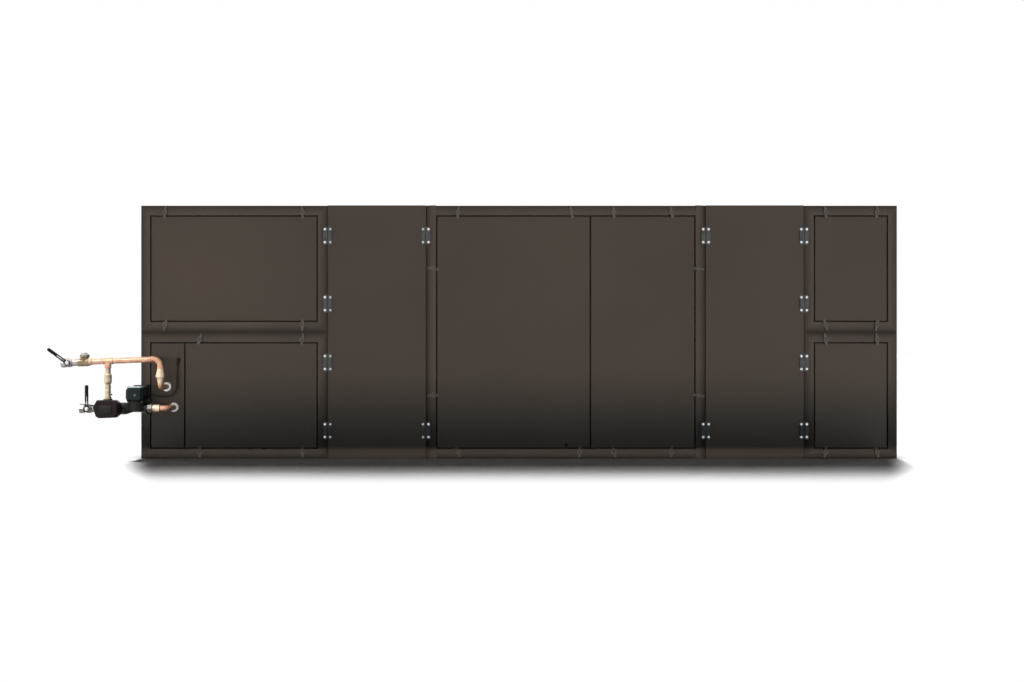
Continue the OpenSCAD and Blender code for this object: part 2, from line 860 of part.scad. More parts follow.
// Brass union with its cone, and the ringed nipple under it
module upper_union() {
    cone_low = union_top - union_cone_h;
    nipple_h = cone_low - union_lip_h - nipple_bottom;
    color(brass_colour) translate([upper_entry, pipe_y, 0]) {
        translate([0, 0, cone_low]) cylinder(d1 = union_d, d2 = nipple_d, h = union_cone_h);
        translate([0, 0, cone_low - union_lip_h]) cylinder(d = union_d, h = union_lip_h);
        translate([0, 0, nipple_bottom]) cylinder(d = nipple_d, h = nipple_h);
        for (third = [1, 2])
            translate([0, 0, nipple_bottom + third * nipple_h / 3 - union_ring_h / 2])
                cylinder(d = union_ring_d, h = union_ring_h);
    }
}

// Check valve in the bypass: coned barrel, rings, the collar on the mixing valve and a test plug
module bypass_valve() {
    bottom = lower_z + mixing_top;
    barrel_top = bypass_barrel_low + bypass_barrel_h;
    color(brass_colour) translate([bypass, pipe_y, bottom]) {
        cylinder(d = bypass_d, h = bypass_top - bottom);
        cylinder(d = bypass_collar_d, h = bypass_collar_h);
        for (z = [bypass_ring_low, bypass_ring_high])
            translate([0, 0, z]) cylinder(d = bypass_ring_d, h = bypass_ring_h);
        translate([0, 0, bypass_barrel_low])
            cylinder(d1 = bypass_d, d2 = bypass_barrel_d, h = bypass_cone_h);
        translate([0, 0, bypass_barrel_low + bypass_cone_h])
            cylinder(d = bypass_barrel_d, h = bypass_barrel_h - 2 * bypass_cone_h);
        translate([0, 0, barrel_top - bypass_cone_h])
            cylinder(d1 = bypass_barrel_d, d2 = bypass_d, h = bypass_cone_h);
        translate([0, 0, test_plug_z]) face_right() cylinder(d = test_plug_d, h = test_plug_l);
    }
}

// Ball valve bonnet towards the viewer, bored for the stem
module bonnet_bore() {
    translate([0, -bonnet_floor, 0]) face_viewer()
        cylinder(d = stem_d + 2 * stem_clearance, h = bonnet_top);
}

// Thread recess of a valve's open end, at the origin and reaching along +X
module thread_bore() {
    translate([-cut, 0, 0]) face_right() cylinder(r = valve_thread_r, h = valve_thread_l + cut);
}

// Wide middle of a ball valve, coned at both ends
module ball_barrel() {
    third = ball_l / 3;
    translate([-ball_l / 2, 0, 0]) face_right() {
        cylinder(d1 = ball_shoulder_d, d2 = ball_d, h = third);
        translate([0, 0, third]) cylinder(d = ball_d, h = third);
        translate([0, 0, 2 * third]) cylinder(d1 = ball_d, d2 = ball_shoulder_d, h = third);
    }
}

// Open end of a shut-off valve: an octagon and the body behind it, along +X
module valve_body(l) {
    face_right() cylinder(d = valve_hex_d, h = valve_hex_l, $fn = 8);
    face_right() cylinder(d = valve_body_d, h = l);
}

// Upper shut-off valve with the strainer behind its ball
module strainer_valve() {
    color(nickel_colour) on_upper_line() translate([upper_stem - bypass, 0, 0]) difference() {
        union() {
            translate([-upper_valve_left, 0, 0]) valve_body(valve_body_l);
            ball_barrel();
            face_viewer() cylinder(d = bonnet_d, h = bonnet_top);
            translate([strainer_start, 0, 0]) face_right()
                cylinder(d = strainer_body_d, h = strainer_cone - strainer_start);
            translate([strainer_cone, 0, 0]) face_right()
                cylinder(d1 = strainer_body_d, d2 = sleeve_d, h = strainer_end - strainer_cone);
            translate([strainer_x, 0, 0]) {
                cylinder(d = strainer_body_d, h = strainer_top);
                translate([0, 0, strainer_top - strainer_cap_h])
                    cylinder(d = strainer_cap_d, h = strainer_cap_h, $fn = 8);
                translate([0, 0, strainer_top])
                    cylinder(d1 = strainer_body_d, d2 = strainer_crown_d, h = strainer_crown_h);
            }
        }
        bonnet_bore();
        translate([-upper_valve_left, 0, 0]) thread_bore();
    }
}

// Lower shut-off valve
module lower_valve() {
    reach = bypass - mixing_reach_left - lower_stem;
    color(nickel_colour) translate([lower_stem, pipe_y, lower_z]) difference() {
        union() {
            translate([-lower_valve_left, 0, 0]) valve_body(lower_valve_left + reach);
            ball_barrel();
            face_viewer() cylinder(d = bonnet_d, h = bonnet_top);
        }
        bonnet_bore();
        translate([-lower_valve_left, 0, 0]) thread_bore();
    }
}

// Lever with its stem, pointing up; the sleeve is thicker than the bare strip at the stem,
// and a long slot runs through both
module lever() {
    plate_y = bonnet_top + lever_gap;
    sleeve_w = lever_tip_w + 2 * sleeve_over;
    translate([0, -bonnet_floor - lever_gap, 0]) face_viewer()
        cylinder(d = stem_d, h = plate_y - bonnet_floor);
    translate([0, -plate_y, 0]) difference() {
        union() {
            face_viewer() cylinder(d = lever_root_w + 2 * sleeve_over, h = lever_t);
            face_viewer() linear_extrude(lever_t) polygon([
                [-lever_root_w / 2, 0], [lever_root_w / 2, 0],
                [lever_tip_w / 2, sleeve_start], [lever_tip_w / 2, lever_l - lever_tip_w],
                [-lever_tip_w / 2, lever_l - lever_tip_w], [-lever_tip_w / 2, sleeve_start]
            ]);
            face_viewer() linear_extrude(sleeve_t) {
                translate([-sleeve_w / 2, sleeve_start])
                    square([sleeve_w, lever_l - sleeve_start - sleeve_w / 2]);
                translate([0, lever_l - sleeve_w / 2]) circle(d = sleeve_w);
            }
        }
        translate([-lever_slot_w / 2, -sleeve_t - cut, lever_slot_start])
            cube([lever_slot_w, sleeve_t + 2 * cut, lever_slot_end - lever_slot_start]);
    }
}

module upper_valve_lever() {
    color(black_colour) on_upper_line() translate([upper_stem - bypass, 0, 0])
        rotate([0, upper_lever_angle + line_fall - 90, 0]) lever();
}

module lower_valve_lever() {
    color(black_colour) translate([lower_stem, pipe_y, lower_z]) lever();
}

// Three-port mixing valve: line barrel, round body, top port and the neck of the actuator
module mixing_valve() {
    color(cast_colour) translate([bypass, pipe_y, lower_z]) {
        translate([-mixing_reach_left, 0, 0]) face_right()
            cylinder(d = mixing_d, h = mixing_reach_left + mixing_reach_right - union_nut_l / 2);
        translate([0, mixing_body_t / 2, 0]) face_viewer() cylinder(d = mixing_body_d, h = mixing_body_t);
        cylinder(d = mixing_d, h = mixing_top);
        translate([-mixing_reach_left, 0, 0]) face_right()
            cylinder(d = mixing_collar_d, h = mixing_collar_l, $fn = 8);
        face_viewer() cylinder(d = actuator_neck_d, h = actuator_neck_l);
    }
}

// Rotary actuator: moulded housing with cut corners and a stepped front
module actuator_outline() {
    polygon([
        [-64, 10], [-45, 43], [45, 43], [62, 30],
        [63, -26], [46, -41], [-34, -44], [-50, -36]
    ]);
}

module mixing_actuator() {
    color(black_colour) translate([bypass + actuator_shift, pipe_y - actuator_neck_l, lower_z]) {
        face_viewer() linear_extrude(actuator_t) actuator_outline();
        face_viewer() linear_extrude(actuator_t + actuator_cap_t)
            scale(actuator_cap_scale) actuator_outline();
    }
}

// Circulator: in-line casting, waisted under its round impeller pot and flared at the unions
module pump_volute() {
    pot_h = volute_low + volute_top - volute_flange_t;
    flare_l = (pump_l - union_nut_l) / 2;
    color(cast_colour) translate([pump_x, pipe_y, lower_z]) {
        translate([-pump_l / 2, 0, 0]) face_right() cylinder(d = port_d, h = pump_l);
        for (side = [0, 1]) mirror([side, 0, 0]) translate([-flare_l, 0, 0])
            face_right() cylinder(d1 = port_flare_d, d2 = port_waist_d, h = flare_l);
        translate([0, 0, -volute_low]) cylinder(d = volute_d, h = pot_h);
        translate([0, 0, volute_top - volute_flange_t]) cylinder(d = volute_flange_d, h = volute_flange_t);
    }
}

// Motor head with rounded upright corners and a flat lid
module motor_outline(margin) {
    w = motor_w / 2 - margin;
    d = motor_d / 2 - margin;
    c = motor_corner - margin / 2;
    polygon([
        [-w + c, -d], [w - c, -d], [w, -d + c], [w, d - c],
        [w - c, d], [-w + c, d], [-w, d - c], [-w, -d + c]
    ]);
}

module pump_motor() {
    color(teal_colour)
        translate([pump_x, pipe_y - motor_d / 2 + motor_back, lower_z + volute_top]) {
            linear_extrude(motor_h - motor_lid_t) motor_outline(0);
            linear_extrude(motor_h) motor_outline(motor_lid_margin);
        }
}

// Terminal box behind the motor head
module pump_terminal_box() {
    color(teal_colour)
        translate([box_right - box_w, pipe_y + motor_back, lower_z + volute_top])
            cube([box_w, box_d, box_h]);
}

// Union nuts on the circulator's two ends
module pump_union_nuts() {
    color(nickel_colour) for (x = [pump_left, pump_right])
        translate([x - union_nut_l / 2, pipe_y, lower_z]) difference() {
            face_right() cylinder(d = union_nut_d, h = union_nut_l, $fn = 8);
            translate([-cut, 0, 0]) face_right()
                cylinder(d = union_bore_d, h = union_nut_l + 2 * cut);
        }
}

// Lower line: brass nipple at the circulator, copper pipe and its bend into the coil
module lower_pipe() {
    nipple_end = pump_right + pump_nipple_l + union_nut_l / 2;
    color(copper_colour) {
        translate([pump_right, pipe_y, lower_z]) face_right()
            cylinder(d = pump_nipple_d, h = nipple_end - pump_right);
        translate([pump_right, pipe_y, lower_z]) face_right()
            cylinder(d = pipe_d, h = lower_entry - bend_r - pump_right);
        translate([lower_entry - bend_r, pipe_y + bend_r, lower_z]) rotate([0, 0, -90]) bend(bend_r);
        translate([lower_entry, coil_side_y, lower_z]) face_viewer()
            cylinder(d = pipe_d, h = coil_side_y - pipe_y - bend_r);
    }
}

// White rosettes round the pipes where they enter the coil cover
module pipe_rosettes() {
    color(white_colour) for (hole = [[upper_entry, upper_entry_z], [lower_entry, lower_z]])
        translate([hole[0], front_y, hole[1]]) face_viewer() difference() {
            cylinder(d1 = rosette_d, d2 = rosette_d - rosette_taper, h = rosette_t);
            translate([0, 0, -cut]) cylinder(d = pipe_d + 2 * pipe_clearance, h = rosette_t + 2 * cut);
        }
}

// Cable glands: one on the terminal box, one elbow gland on the coil cover
module cable_glands() {
    color(black_colour) {
        translate([box_right, box_gland_y, box_gland_z]) face_right() {
            cylinder(d = gland_hex_d, h = gland_hex_l, $fn = 6);
            cylinder(d1 = gland_d, d2 = gland_mouth_d, h = gland_l);
        }
        translate([wall_gland_x, front_y, wall_gland_z]) {
            face_viewer() cylinder(d = wall_gland_hex_d, h = wall_gland_hex_l, $fn = 6);
            face_viewer() cylinder(d = wall_gland_d, h = wall_gland_out);
            translate([0, -wall_gland_out, -wall_gland_cone])
                cylinder(d = gland_d, h = wall_gland_cone + wall_gland_up);
            translate([0, -wall_gland_out, -2 * wall_gland_cone])
                cylinder(d1 = gland_mouth_d, d2 = gland_d, h = wall_gland_cone);
        }
    }
}

// Tube of round rings swept along a route
function unit(v) = v / norm(v);
function heading(p, i) = unit(p[min(i + 1, len(p) - 1)] - p[max(i - 1, 0)]);
function ring(p, i, r, sides) =
    let (t = heading(p, i), a = unit(cross(t, [0, 1, 0])), b = cross(a, t))
    [for (k = [0 : sides - 1]) p[i] + r * (cos(360 * k / sides) * a + sin(360 * k / sides) * b)];

module swept_tube(p, d, sides) {
    n = len(p);
    points = [for (i = [0 : n - 1]) each ring(p, i, d / 2, sides)];
    walls = [for (i = [0 : n - 2], k = [0 : sides - 1])
        let (a = i * sides + k, b = i * sides + (k + 1) % sides) [a, b, b + sides, a + sides]];
    start = [[for (k = [0 : sides - 1]) sides - 1 - k]];
    end = [[for (k = [0 : sides - 1]) (n - 1) * sides + k]];
    polyhedron(points = points, faces = concat(walls, start, end));
}

module motor_cable() {
    color(black_colour) swept_tube(cable_route, cable_d, cable_sides);
}

// Drain plug low in the left panel of the centre section
module drain_plug() {
    color(black_colour) translate([drain_x, front_y + drain_hole_t, drain_z]) face_viewer() {
        cylinder(d = drain_d, h = drain_hole_t);
        translate([0, 0, drain_hole_t]) cylinder(d1 = drain_d + 2 * drain_lip, d2 = drain_d, h = drain_lip);
    }
}

left_upper_frame();
left_lower_frame();
centre_frame();
right_upper_frame();
right_lower_frame();
left_upper_panel();
coil_cover_panel();
left_lower_panel();
left_plain_panel();
centre_left_panel();
centre_right_panel();
right_plain_panel();
right_upper_panel();
right_lower_panel();
back_panels();
roof_panels();
floor_panels();
left_deck_panels();
right_deck_panels();
panel_clamps();
front_connectors();
back_connectors();
left_duct_frames();
right_duct_frames();
air_filter();
heating_coil();
upper_damper_blades();
lower_damper_blades();
upper_pipe();
upper_union();
bypass_valve();
strainer_valve();
upper_valve_lever();
lower_valve();
lower_valve_lever();
mixing_valve();
mixing_actuator();
pump_volute();
pump_motor();
pump_terminal_box();
pump_union_nuts();
lower_pipe();
pipe_rosettes();
cable_glands();
motor_cable();
drain_plug();
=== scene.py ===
import json
import math

import bmesh
import bpy
from mathutils import Matrix, Vector

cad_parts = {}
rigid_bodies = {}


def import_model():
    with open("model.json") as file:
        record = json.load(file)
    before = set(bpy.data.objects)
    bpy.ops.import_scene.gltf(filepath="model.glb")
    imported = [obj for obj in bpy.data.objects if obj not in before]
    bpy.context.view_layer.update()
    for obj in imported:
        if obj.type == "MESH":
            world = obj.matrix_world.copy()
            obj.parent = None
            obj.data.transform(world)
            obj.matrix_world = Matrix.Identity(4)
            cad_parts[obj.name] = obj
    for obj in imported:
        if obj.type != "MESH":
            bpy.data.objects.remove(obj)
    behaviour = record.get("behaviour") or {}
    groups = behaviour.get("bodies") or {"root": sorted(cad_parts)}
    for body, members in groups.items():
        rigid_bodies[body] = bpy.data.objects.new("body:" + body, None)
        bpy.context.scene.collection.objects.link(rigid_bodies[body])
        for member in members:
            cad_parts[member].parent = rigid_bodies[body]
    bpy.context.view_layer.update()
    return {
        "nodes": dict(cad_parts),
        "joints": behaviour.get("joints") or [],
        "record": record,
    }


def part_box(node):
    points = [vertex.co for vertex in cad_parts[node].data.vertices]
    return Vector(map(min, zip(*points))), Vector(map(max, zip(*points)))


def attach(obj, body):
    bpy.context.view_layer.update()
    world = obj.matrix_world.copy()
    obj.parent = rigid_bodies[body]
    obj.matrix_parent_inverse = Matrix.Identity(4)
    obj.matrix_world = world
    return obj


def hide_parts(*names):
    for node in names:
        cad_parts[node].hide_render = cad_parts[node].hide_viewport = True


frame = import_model()
nodes = frame["nodes"]
scene = bpy.context.scene

# Places taken from the frame, in metres
front_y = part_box("left_plain_panel")[0].y
back_y = -front_y
left_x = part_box("left_duct_frames")[0].x
right_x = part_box("right_duct_frames")[1].x
top_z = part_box("left_plain_panel")[1].z
joints_x = [corner.x for panel in ("left_plain_panel", "right_plain_panel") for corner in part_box(panel)]
upper_axis = Vector(frame["joints"][0]["pos_m"])
lower_axis = Vector(frame["joints"][1]["pos_m"])
mounts = {mount["name"]: mount for mount in frame["record"]["mounts"]}
upper_end = Vector(mounts["upper_connection"]["pos_m"])
lower_end = Vector(mounts["lower_connection"]["pos_m"])
upper_run = -Vector(mounts["upper_connection"]["axis"]).normalized()
right = Vector((1, 0, 0))
rear = Vector((0, 1, 0))
up = Vector((0, 0, 1))

# Camera: the casing's front is seen square on
view_w = 5.105
camera_distance = 6.5
camera_x = -0.0352
camera_z = 0.5875
sensor_w = 36.0

scene.view_settings.view_transform = "Standard"
camera_data = bpy.data.cameras.new("camera")
camera_data.sensor_width = sensor_w
camera_data.lens = sensor_w * camera_distance / view_w
camera_data.clip_end = 200
camera = bpy.data.objects.new("camera", camera_data)
camera.location = (camera_x, front_y - camera_distance, camera_z)
camera.rotation_euler = (math.radians(90), 0, 0)
scene.collection.objects.link(camera)
scene.camera = camera

# Cable of the circulator, along the same points as its solid
cable_d = 0.009
cable_route = [
    (-1.8145, -0.5650, 0.3140), (-1.8030, -0.5650, 0.3140), (-1.7910, -0.5645, 0.3130),
    (-1.7790, -0.5625, 0.3130), (-1.7670, -0.5595, 0.3120), (-1.7560, -0.5565, 0.3120),
    (-1.7460, -0.5530, 0.3120), (-1.7340, -0.5485, 0.3135), (-1.7230, -0.5435, 0.3180),
    (-1.7140, -0.5385, 0.3255), (-1.7065, -0.5340, 0.3350), (-1.7020, -0.5290, 0.3455),
    (-1.7005, -0.5250, 0.3575), (-1.7005, -0.5210, 0.3700), (-1.7005, -0.5175, 0.3840),
    (-1.7005, -0.5155, 0.3980), (-1.7005, -0.5150, 0.4120), (-1.7005, -0.5150, 0.4310),
    (-1.7005, -0.5150, 0.4500), (-1.7005, -0.5150, 0.4700),
]


def length_of(points):
    """Length of a line through points."""
    return sum((Vector(b) - Vector(a)).length for a, b in zip(points, points[1:]))


def make_cable():
    """The cable as one smooth round curve, as thick as its points' radius says."""
    data = bpy.data.curves.new("motor_cable_jacket", "CURVE")
    data.dimensions = "3D"
    data.bevel_depth = 1.0
    data.bevel_resolution = 6
    data.use_fill_caps = True
    spline = data.splines.new("POLY")
    spline.points.add(len(cable_route) - 1)
    for point, place in zip(spline.points, cable_route):
        point.co = (*place, 1)
        point.radius = cable_d / 2
    piece = bpy.data.objects.new("motor_cable_jacket", data)
    scene.collection.objects.link(piece)
    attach(piece, "casing")
    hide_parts("motor_cable")
    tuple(cable_route[0])
    length_of(cable_route)
    return piece


cable = make_cable()


# Materials
def math_node(tree, operation, *values):
    """A math node on the outputs of others."""
    node = tree.nodes.new("ShaderNodeMath")
    node.operation = operation
    for value, socket in zip(values, node.inputs):
        tree.links.new(value, socket)
    return node.outputs["Value"]


def largest(tree, values):
    """The largest of several node outputs."""
    result = values[0]
    for value in values[1:]:
        result = math_node(tree, "MAXIMUM", result, value)
    return result


class Surface:
    """A principled material with helpers that wire its procedural detail in object coordinates."""

    def __init__(self, name, metallic=0.0, specular=0.5, edge=0.0):
        self.material = bpy.data.materials.new(name)
        self.material.use_nodes = True
        self.tree = self.material.node_tree
        self.shader = self.tree.nodes["Principled BSDF"]
        self.shader.inputs["Metallic"].default_value = metallic
        self.shader.inputs["Specular IOR Level"].default_value = specular
        self.texture = self.tree.nodes.new("ShaderNodeTexCoord")
        self.place = self.texture.outputs["Object"]
        self.normal = None
        if edge:
            rounding = self.node("Bevel", {"Radius": edge}, {})
            rounding.samples = 4
            self.normal = rounding.outputs["Normal"]

    def node(self, kind, values, wires):
        """A shader node with some inputs set to values and others wired to outputs."""
        made = self.tree.nodes.new("ShaderNode" + kind)
        for name, value in values.items():
            made.inputs[name].default_value = value
        for name, output in wires.items():
            self.tree.links.new(output, made.inputs[name])
        return made

    def stretched(self, x, y, z):
        """Object coordinates scaled by axis."""
        return self.node("Mapping", {"Scale": (x, y, z)}, {"Vector": self.place}).outputs["Vector"]

    def noise(self, scale, detail=3.0, rough=0.55, place=None):
        """Noise between 0 and 1."""
        values = {"Scale": scale, "Detail": detail, "Roughness": rough}
        return self.node("TexNoise", values, {"Vector": place or self.place}).outputs["Fac"]

    def cells(self, scale, output="Color"):
        """Voronoi cells, each with its own shade."""
        return self.node("TexVoronoi", {"Scale": scale}, {"Vector": self.place}).outputs[output]

    def waves(self, scale, axis, distortion=0.0):
        """Bands across one axis, X, Y or Z."""
        made = self.node("TexWave", {"Scale": scale, "Distortion": distortion}, {"Vector": self.place})
        made.bands_direction = axis
        return made.outputs["Fac"]

    def squareness(self):
        """1 where the surface is square to an axis, less where it leans between two."""
        split = self.node("SeparateXYZ", {}, {"Vector": self.texture.outputs["Normal"]})
        return largest(self.tree, [math_node(self.tree, "ABSOLUTE", split.outputs[axis]) for axis in "XYZ"])

    def ramp(self, value, stops, level=1.0):
        """Colours along a value, as (place, colour) stops; level scales their brightness."""
        node = self.tree.nodes.new("ShaderNodeValToRGB")
        elements = node.color_ramp.elements
        while len(elements) < len(stops):
            elements.new(0.5)
        for element, (place, colour) in zip(elements, stops):
            element.position = place
            element.color = (*scaled(colour, level), 1)
        self.tree.links.new(value, node.inputs["Fac"])
        return node.outputs["Color"]

    def span(self, value, low, high, start=0.0, end=1.0):
        """A value mapped from low..high to start..end."""
        values = {"From Min": low, "From Max": high, "To Min": start, "To Max": end}
        return self.node("MapRange", values, {"Value": value}).outputs["Result"]

    def mix(self, factor, first, second):
        """Mix of two colours or colour outputs."""
        node = self.tree.nodes.new("ShaderNodeMix")
        node.data_type = "RGBA"
        sockets = (node.inputs["Factor"], node.inputs[6], node.inputs[7])
        for socket, value in zip(sockets, (factor, first, second)):
            if isinstance(value, bpy.types.NodeSocket):
                self.tree.links.new(value, socket)
            else:
                socket.default_value = (*value, 1)
        return node.outputs[2]

    def wired(self, tone, roughness, *layers):
        """The material, with its colour, roughness and bump of (height, depth in metres) layers wired."""
        normal = self.normal
        for height, depth in layers:
            wires = {"Height": height}
            if normal is not None:
                wires["Normal"] = normal
            normal = self.node("Bump", {"Distance": depth}, wires).outputs["Normal"]
        for name, output in (("Base Color", tone), ("Roughness", roughness), ("Normal", normal)):
            self.tree.links.new(output, self.shader.inputs[name])
        return self.material


def scaled(colour, factor):
    """A colour made darker or lighter."""
    return tuple(c * factor for c in colour)


def painted_sheet(name, colour, specular):
    """Satin coil coating: faint mottling, orange peel and the slight waves of a large sheet."""
    s = Surface(name, specular=specular)
    cloud = s.noise(1.3, 4.0, 0.6)
    fleck = s.noise(420, 2.0, 0.5)
    tone = s.ramp(cloud, [(0.3, scaled(colour, 0.94)), (0.7, scaled(colour, 1.07))])
    tone = s.mix(s.span(fleck, 0.35, 0.65, 0.0, 0.12), tone, scaled(colour, 0.72))
    roughness = s.span(s.noise(6, 4.0, 0.6), 0.3, 0.7, 0.36, 0.46)
    return s.wired(tone, roughness, (s.noise(1.1, 1.0), 0.004), (s.noise(650, 2.0), 0.00006))


# Share of the frame colour kept where the profile leans between axes: painted shade on the rounded flanks
flank_painted_shade = 0.58


def powder_coat(name, colour, specular):
    """Powder coat with a fine pebbled skin, lighter rubbed spots, and painted shade that darkens the rounded
    flanks.
    """
    s = Surface(name, specular=specular)
    rubbed = s.span(s.noise(38, 5.0, 0.65), 0.58, 0.75)
    tone = s.ramp(s.noise(3.2, 3.0), [(0.3, scaled(colour, 0.92)), (0.7, scaled(colour, 1.08))])
    tone = s.mix(rubbed, tone, scaled(colour, 1.18))
    # Painted shade: the paint is darker where the surface leans away from the axes, on the rounded flanks of
    # the profile
    tone = s.mix(s.span(s.squareness(), 0.70, 1.0), scaled(colour, flank_painted_shade), tone)
    roughness = s.span(s.noise(24, 3.0), 0.3, 0.7, 0.26, 0.36)
    return s.wired(tone, roughness, (s.noise(900, 2.0), 0.00008))


def cast_metal(name, colour, rough, grain, depth, specular=0.5, edge=0.0012):
    """Painted or bare casting: clouded tone, pitted skin and soft edges."""
    s = Surface(name, specular=specular, edge=edge)
    tone = s.ramp(s.noise(60, 4.0), [(0.3, scaled(colour, 0.8)), (0.7, scaled(colour, 1.15))])
    roughness = s.span(s.noise(90, 3.0), 0.3, 0.7, rough - 0.08, rough + 0.1)
    return s.wired(tone, roughness, (s.noise(grain, 4.0, 0.6), depth))


def galvanised_sheet(name):
    """Zinc spangle: flat cells with their own shade and gloss."""
    s = Surface(name, metallic=0.7)
    flake = s.cells(48)
    tone = s.ramp(flake, [(0.1, (0.36, 0.38, 0.39)), (0.9, (0.54, 0.56, 0.57))])
    roughness = s.span(flake, 0.0, 1.0, 0.34, 0.5)
    return s.wired(tone, roughness, (s.cells(48, "Distance"), 0.00012))


def filter_paper(name):
    """Pleated filter paper with fibres and a little dust."""
    s = Surface(name, specular=0.2)
    fibre = s.noise(900, 5.0, 0.7)
    dust = s.noise(22, 4.0)
    paper = s.ramp(fibre, [(0.3, (0.60, 0.59, 0.54)), (0.7, (0.78, 0.77, 0.72))])
    tone = s.mix(s.span(dust, 0.5, 0.8, 0.0, 0.35), paper, (0.46, 0.44, 0.39))
    roughness = s.span(fibre, 0.3, 0.7, 0.9, 1.0)
    return s.wired(tone, roughness, (fibre, 0.0004))


def aluminium(name):
    """Rolled aluminium with fine draw lines."""
    s = Surface(name, metallic=0.9)
    lines = s.waves(180, "Z", 2.0)
    tone = s.ramp(s.noise(30, 4.0), [(0.3, (0.50, 0.51, 0.52)), (0.7, (0.66, 0.67, 0.68))])
    roughness = s.span(lines, 0.0, 1.0, 0.3, 0.44)
    return s.wired(tone, roughness, (lines, 0.00005))


def copper_tube(name):
    """Bare copper: warm and pale, with darker tarnish clouds and drawing marks along the tube."""
    s = Surface(name, metallic=0.1, specular=0.3)
    cloud = s.noise(24, 5.0, 0.62)
    tone = s.ramp(cloud, [
        (0.30, (0.30, 0.13, 0.07)), (0.44, (0.54, 0.28, 0.17)),
        (0.60, (0.72, 0.43, 0.29)), (0.76, (0.82, 0.59, 0.47)),
    ])
    roughness = s.span(cloud, 0.25, 0.75, 0.34, 0.2)
    return s.wired(tone, roughness, (s.noise(300, 3.0, 0.6, s.stretched(0.1, 1.0, 1.0)), 0.00008))


def turned_brass(name, dark, middle, light):
    """Machined brass with turning marks and tarnish between a dark and a light tone."""
    s = Surface(name, metallic=0.1, specular=0.3, edge=0.0008)
    cloud = s.noise(42, 4.0)
    tone = s.ramp(cloud, [(0.28, dark), (0.5, middle), (0.74, light)])
    roughness = s.span(cloud, 0.3, 0.7, 0.34, 0.22)
    return s.wired(tone, roughness, (s.waves(260, "Z", 0.6), 0.00005), (s.noise(500, 3.0), 0.00005))


def plated_nickel(name, level):
    """Nickel plate on a cast body, with dull patches; level scales its brightness."""
    s = Surface(name, metallic=0.1, specular=0.3, edge=0.0012)
    cloud = s.noise(52, 4.0, 0.6)
    tone = s.ramp(cloud, [
        (0.30, (0.30, 0.27, 0.24)), (0.55, (0.52, 0.48, 0.45)), (0.80, (0.66, 0.62, 0.58)),
    ], level)
    roughness = s.span(cloud, 0.3, 0.7, 0.36, 0.22)
    return s.wired(tone, roughness, (s.noise(420, 3.0), 0.0001))


def moulded_plastic(name, colour, rough, specular=0.5, edge=0.0012):
    """Moulded plastic with a fine spark-eroded grain."""
    s = Surface(name, specular=specular, edge=edge)
    tone = s.ramp(s.noise(80, 3.0), [(0.3, scaled(colour, 0.85)), (0.7, scaled(colour, 1.15))])
    roughness = s.span(s.noise(40, 3.0), 0.3, 0.7, rough - 0.06, rough + 0.08)
    return s.wired(tone, roughness, (s.noise(1400, 2.0), 0.00006))


def black_rubber(name, level):
    """Black rubber with a dusty bloom; level scales its brightness."""
    s = Surface(name, specular=0.12)
    bloom = s.noise(120, 4.0)
    tone = s.ramp(bloom, [(0.35, (0.006, 0.006, 0.007)), (0.8, (0.020, 0.019, 0.019))], level)
    roughness = s.span(bloom, 0.3, 0.8, 0.5, 0.75)
    return s.wired(tone, roughness, (s.noise(1600, 2.0), 0.00005))


def bright_zinc(name, level):
    """Zinc on small fasteners; level scales its brightness."""
    s = Surface(name, metallic=0.8, edge=0.0005)
    cloud = s.noise(160, 3.0)
    tone = s.ramp(cloud, [(0.3, (0.70, 0.71, 0.72)), (0.7, (0.90, 0.91, 0.92))], level)
    roughness = s.span(cloud, 0.3, 0.7, 0.32, 0.2)
    return s.wired(tone, roughness, (s.noise(700, 2.0), 0.00004))


def solder(name):
    """Dull tin solder with flux stains."""
    s = Surface(name, metallic=0.6)
    stain = s.noise(140, 4.0)
    tone = s.ramp(stain, [(0.3, (0.36, 0.22, 0.15)), (0.6, (0.60, 0.45, 0.36))])
    roughness = s.span(stain, 0.3, 0.7, 0.5, 0.32)
    return s.wired(tone, roughness, (s.noise(380, 4.0), 0.0003))


casing_brown = (0.0508, 0.0396, 0.0312)
frame_brown = (0.0730, 0.0590, 0.0500)
looks = {
    "casing": painted_sheet("casing_paint", casing_brown, 0.22),
    "frame": powder_coat("frame_paint", frame_brown, 0.03),
    "clamp": cast_metal("clamp_paint", (0.090, 0.080, 0.069), 0.34, 500, 0.00015, 0.15),
    "connector": cast_metal("connector_cast", (0.072, 0.073, 0.070), 0.38, 420, 0.00015, 0.12),
    "galvanised": galvanised_sheet("galvanised_sheet"),
    "filter_media": filter_paper("filter_paper"),
    "coil_fins": aluminium("coil_aluminium"),
    "copper": copper_tube("copper_tube"),
    "brass": turned_brass("turned_brass", (0.42, 0.33, 0.20), (0.68, 0.57, 0.39), (0.80, 0.71, 0.50)),
    "nickel": plated_nickel("plated_nickel", 1.0),
    "lever_sleeve": moulded_plastic("lever_sleeve", (0.006, 0.006, 0.010), 0.34, 0.08),
    "cast_iron": cast_metal("black_casting", (0.014, 0.015, 0.011), 0.42, 380, 0.0008, 0.12, 0.002),
    "actuator": moulded_plastic("actuator_plastic", (0.016, 0.010, 0.011), 0.42, 0.10, 0.002),
    "pump_paint": cast_metal("pump_paint", (0.011, 0.017, 0.017), 0.34, 300, 0.0004, 0.12, 0.002),
    "rosette": moulded_plastic("rosette_plastic", (0.80, 0.78, 0.75), 0.35),
    "cable": black_rubber("cable_rubber", 2.4),
}
zinc = bright_zinc("bright_zinc", 1.0)
dull_zinc = bright_zinc("dull_zinc", 0.62)
dark_steel = bright_zinc("dark_steel", 0.12)
dull_nickel = plated_nickel("dull_nickel", 0.62)
nut_nickel = plated_nickel("nut_nickel", 0.20)
cap_nickel = plated_nickel("cap_nickel", 0.72)
nut_black = plated_nickel("nut_black", 0.10)
# The motor lid is a real lid, but its pale colour is a painted highlight along the motor's top edge
pale_lid_with_painted_highlight = cast_metal("motor_lid_highlight_paint", (0.44, 0.52, 0.54), 0.30, 300, 0.0002)
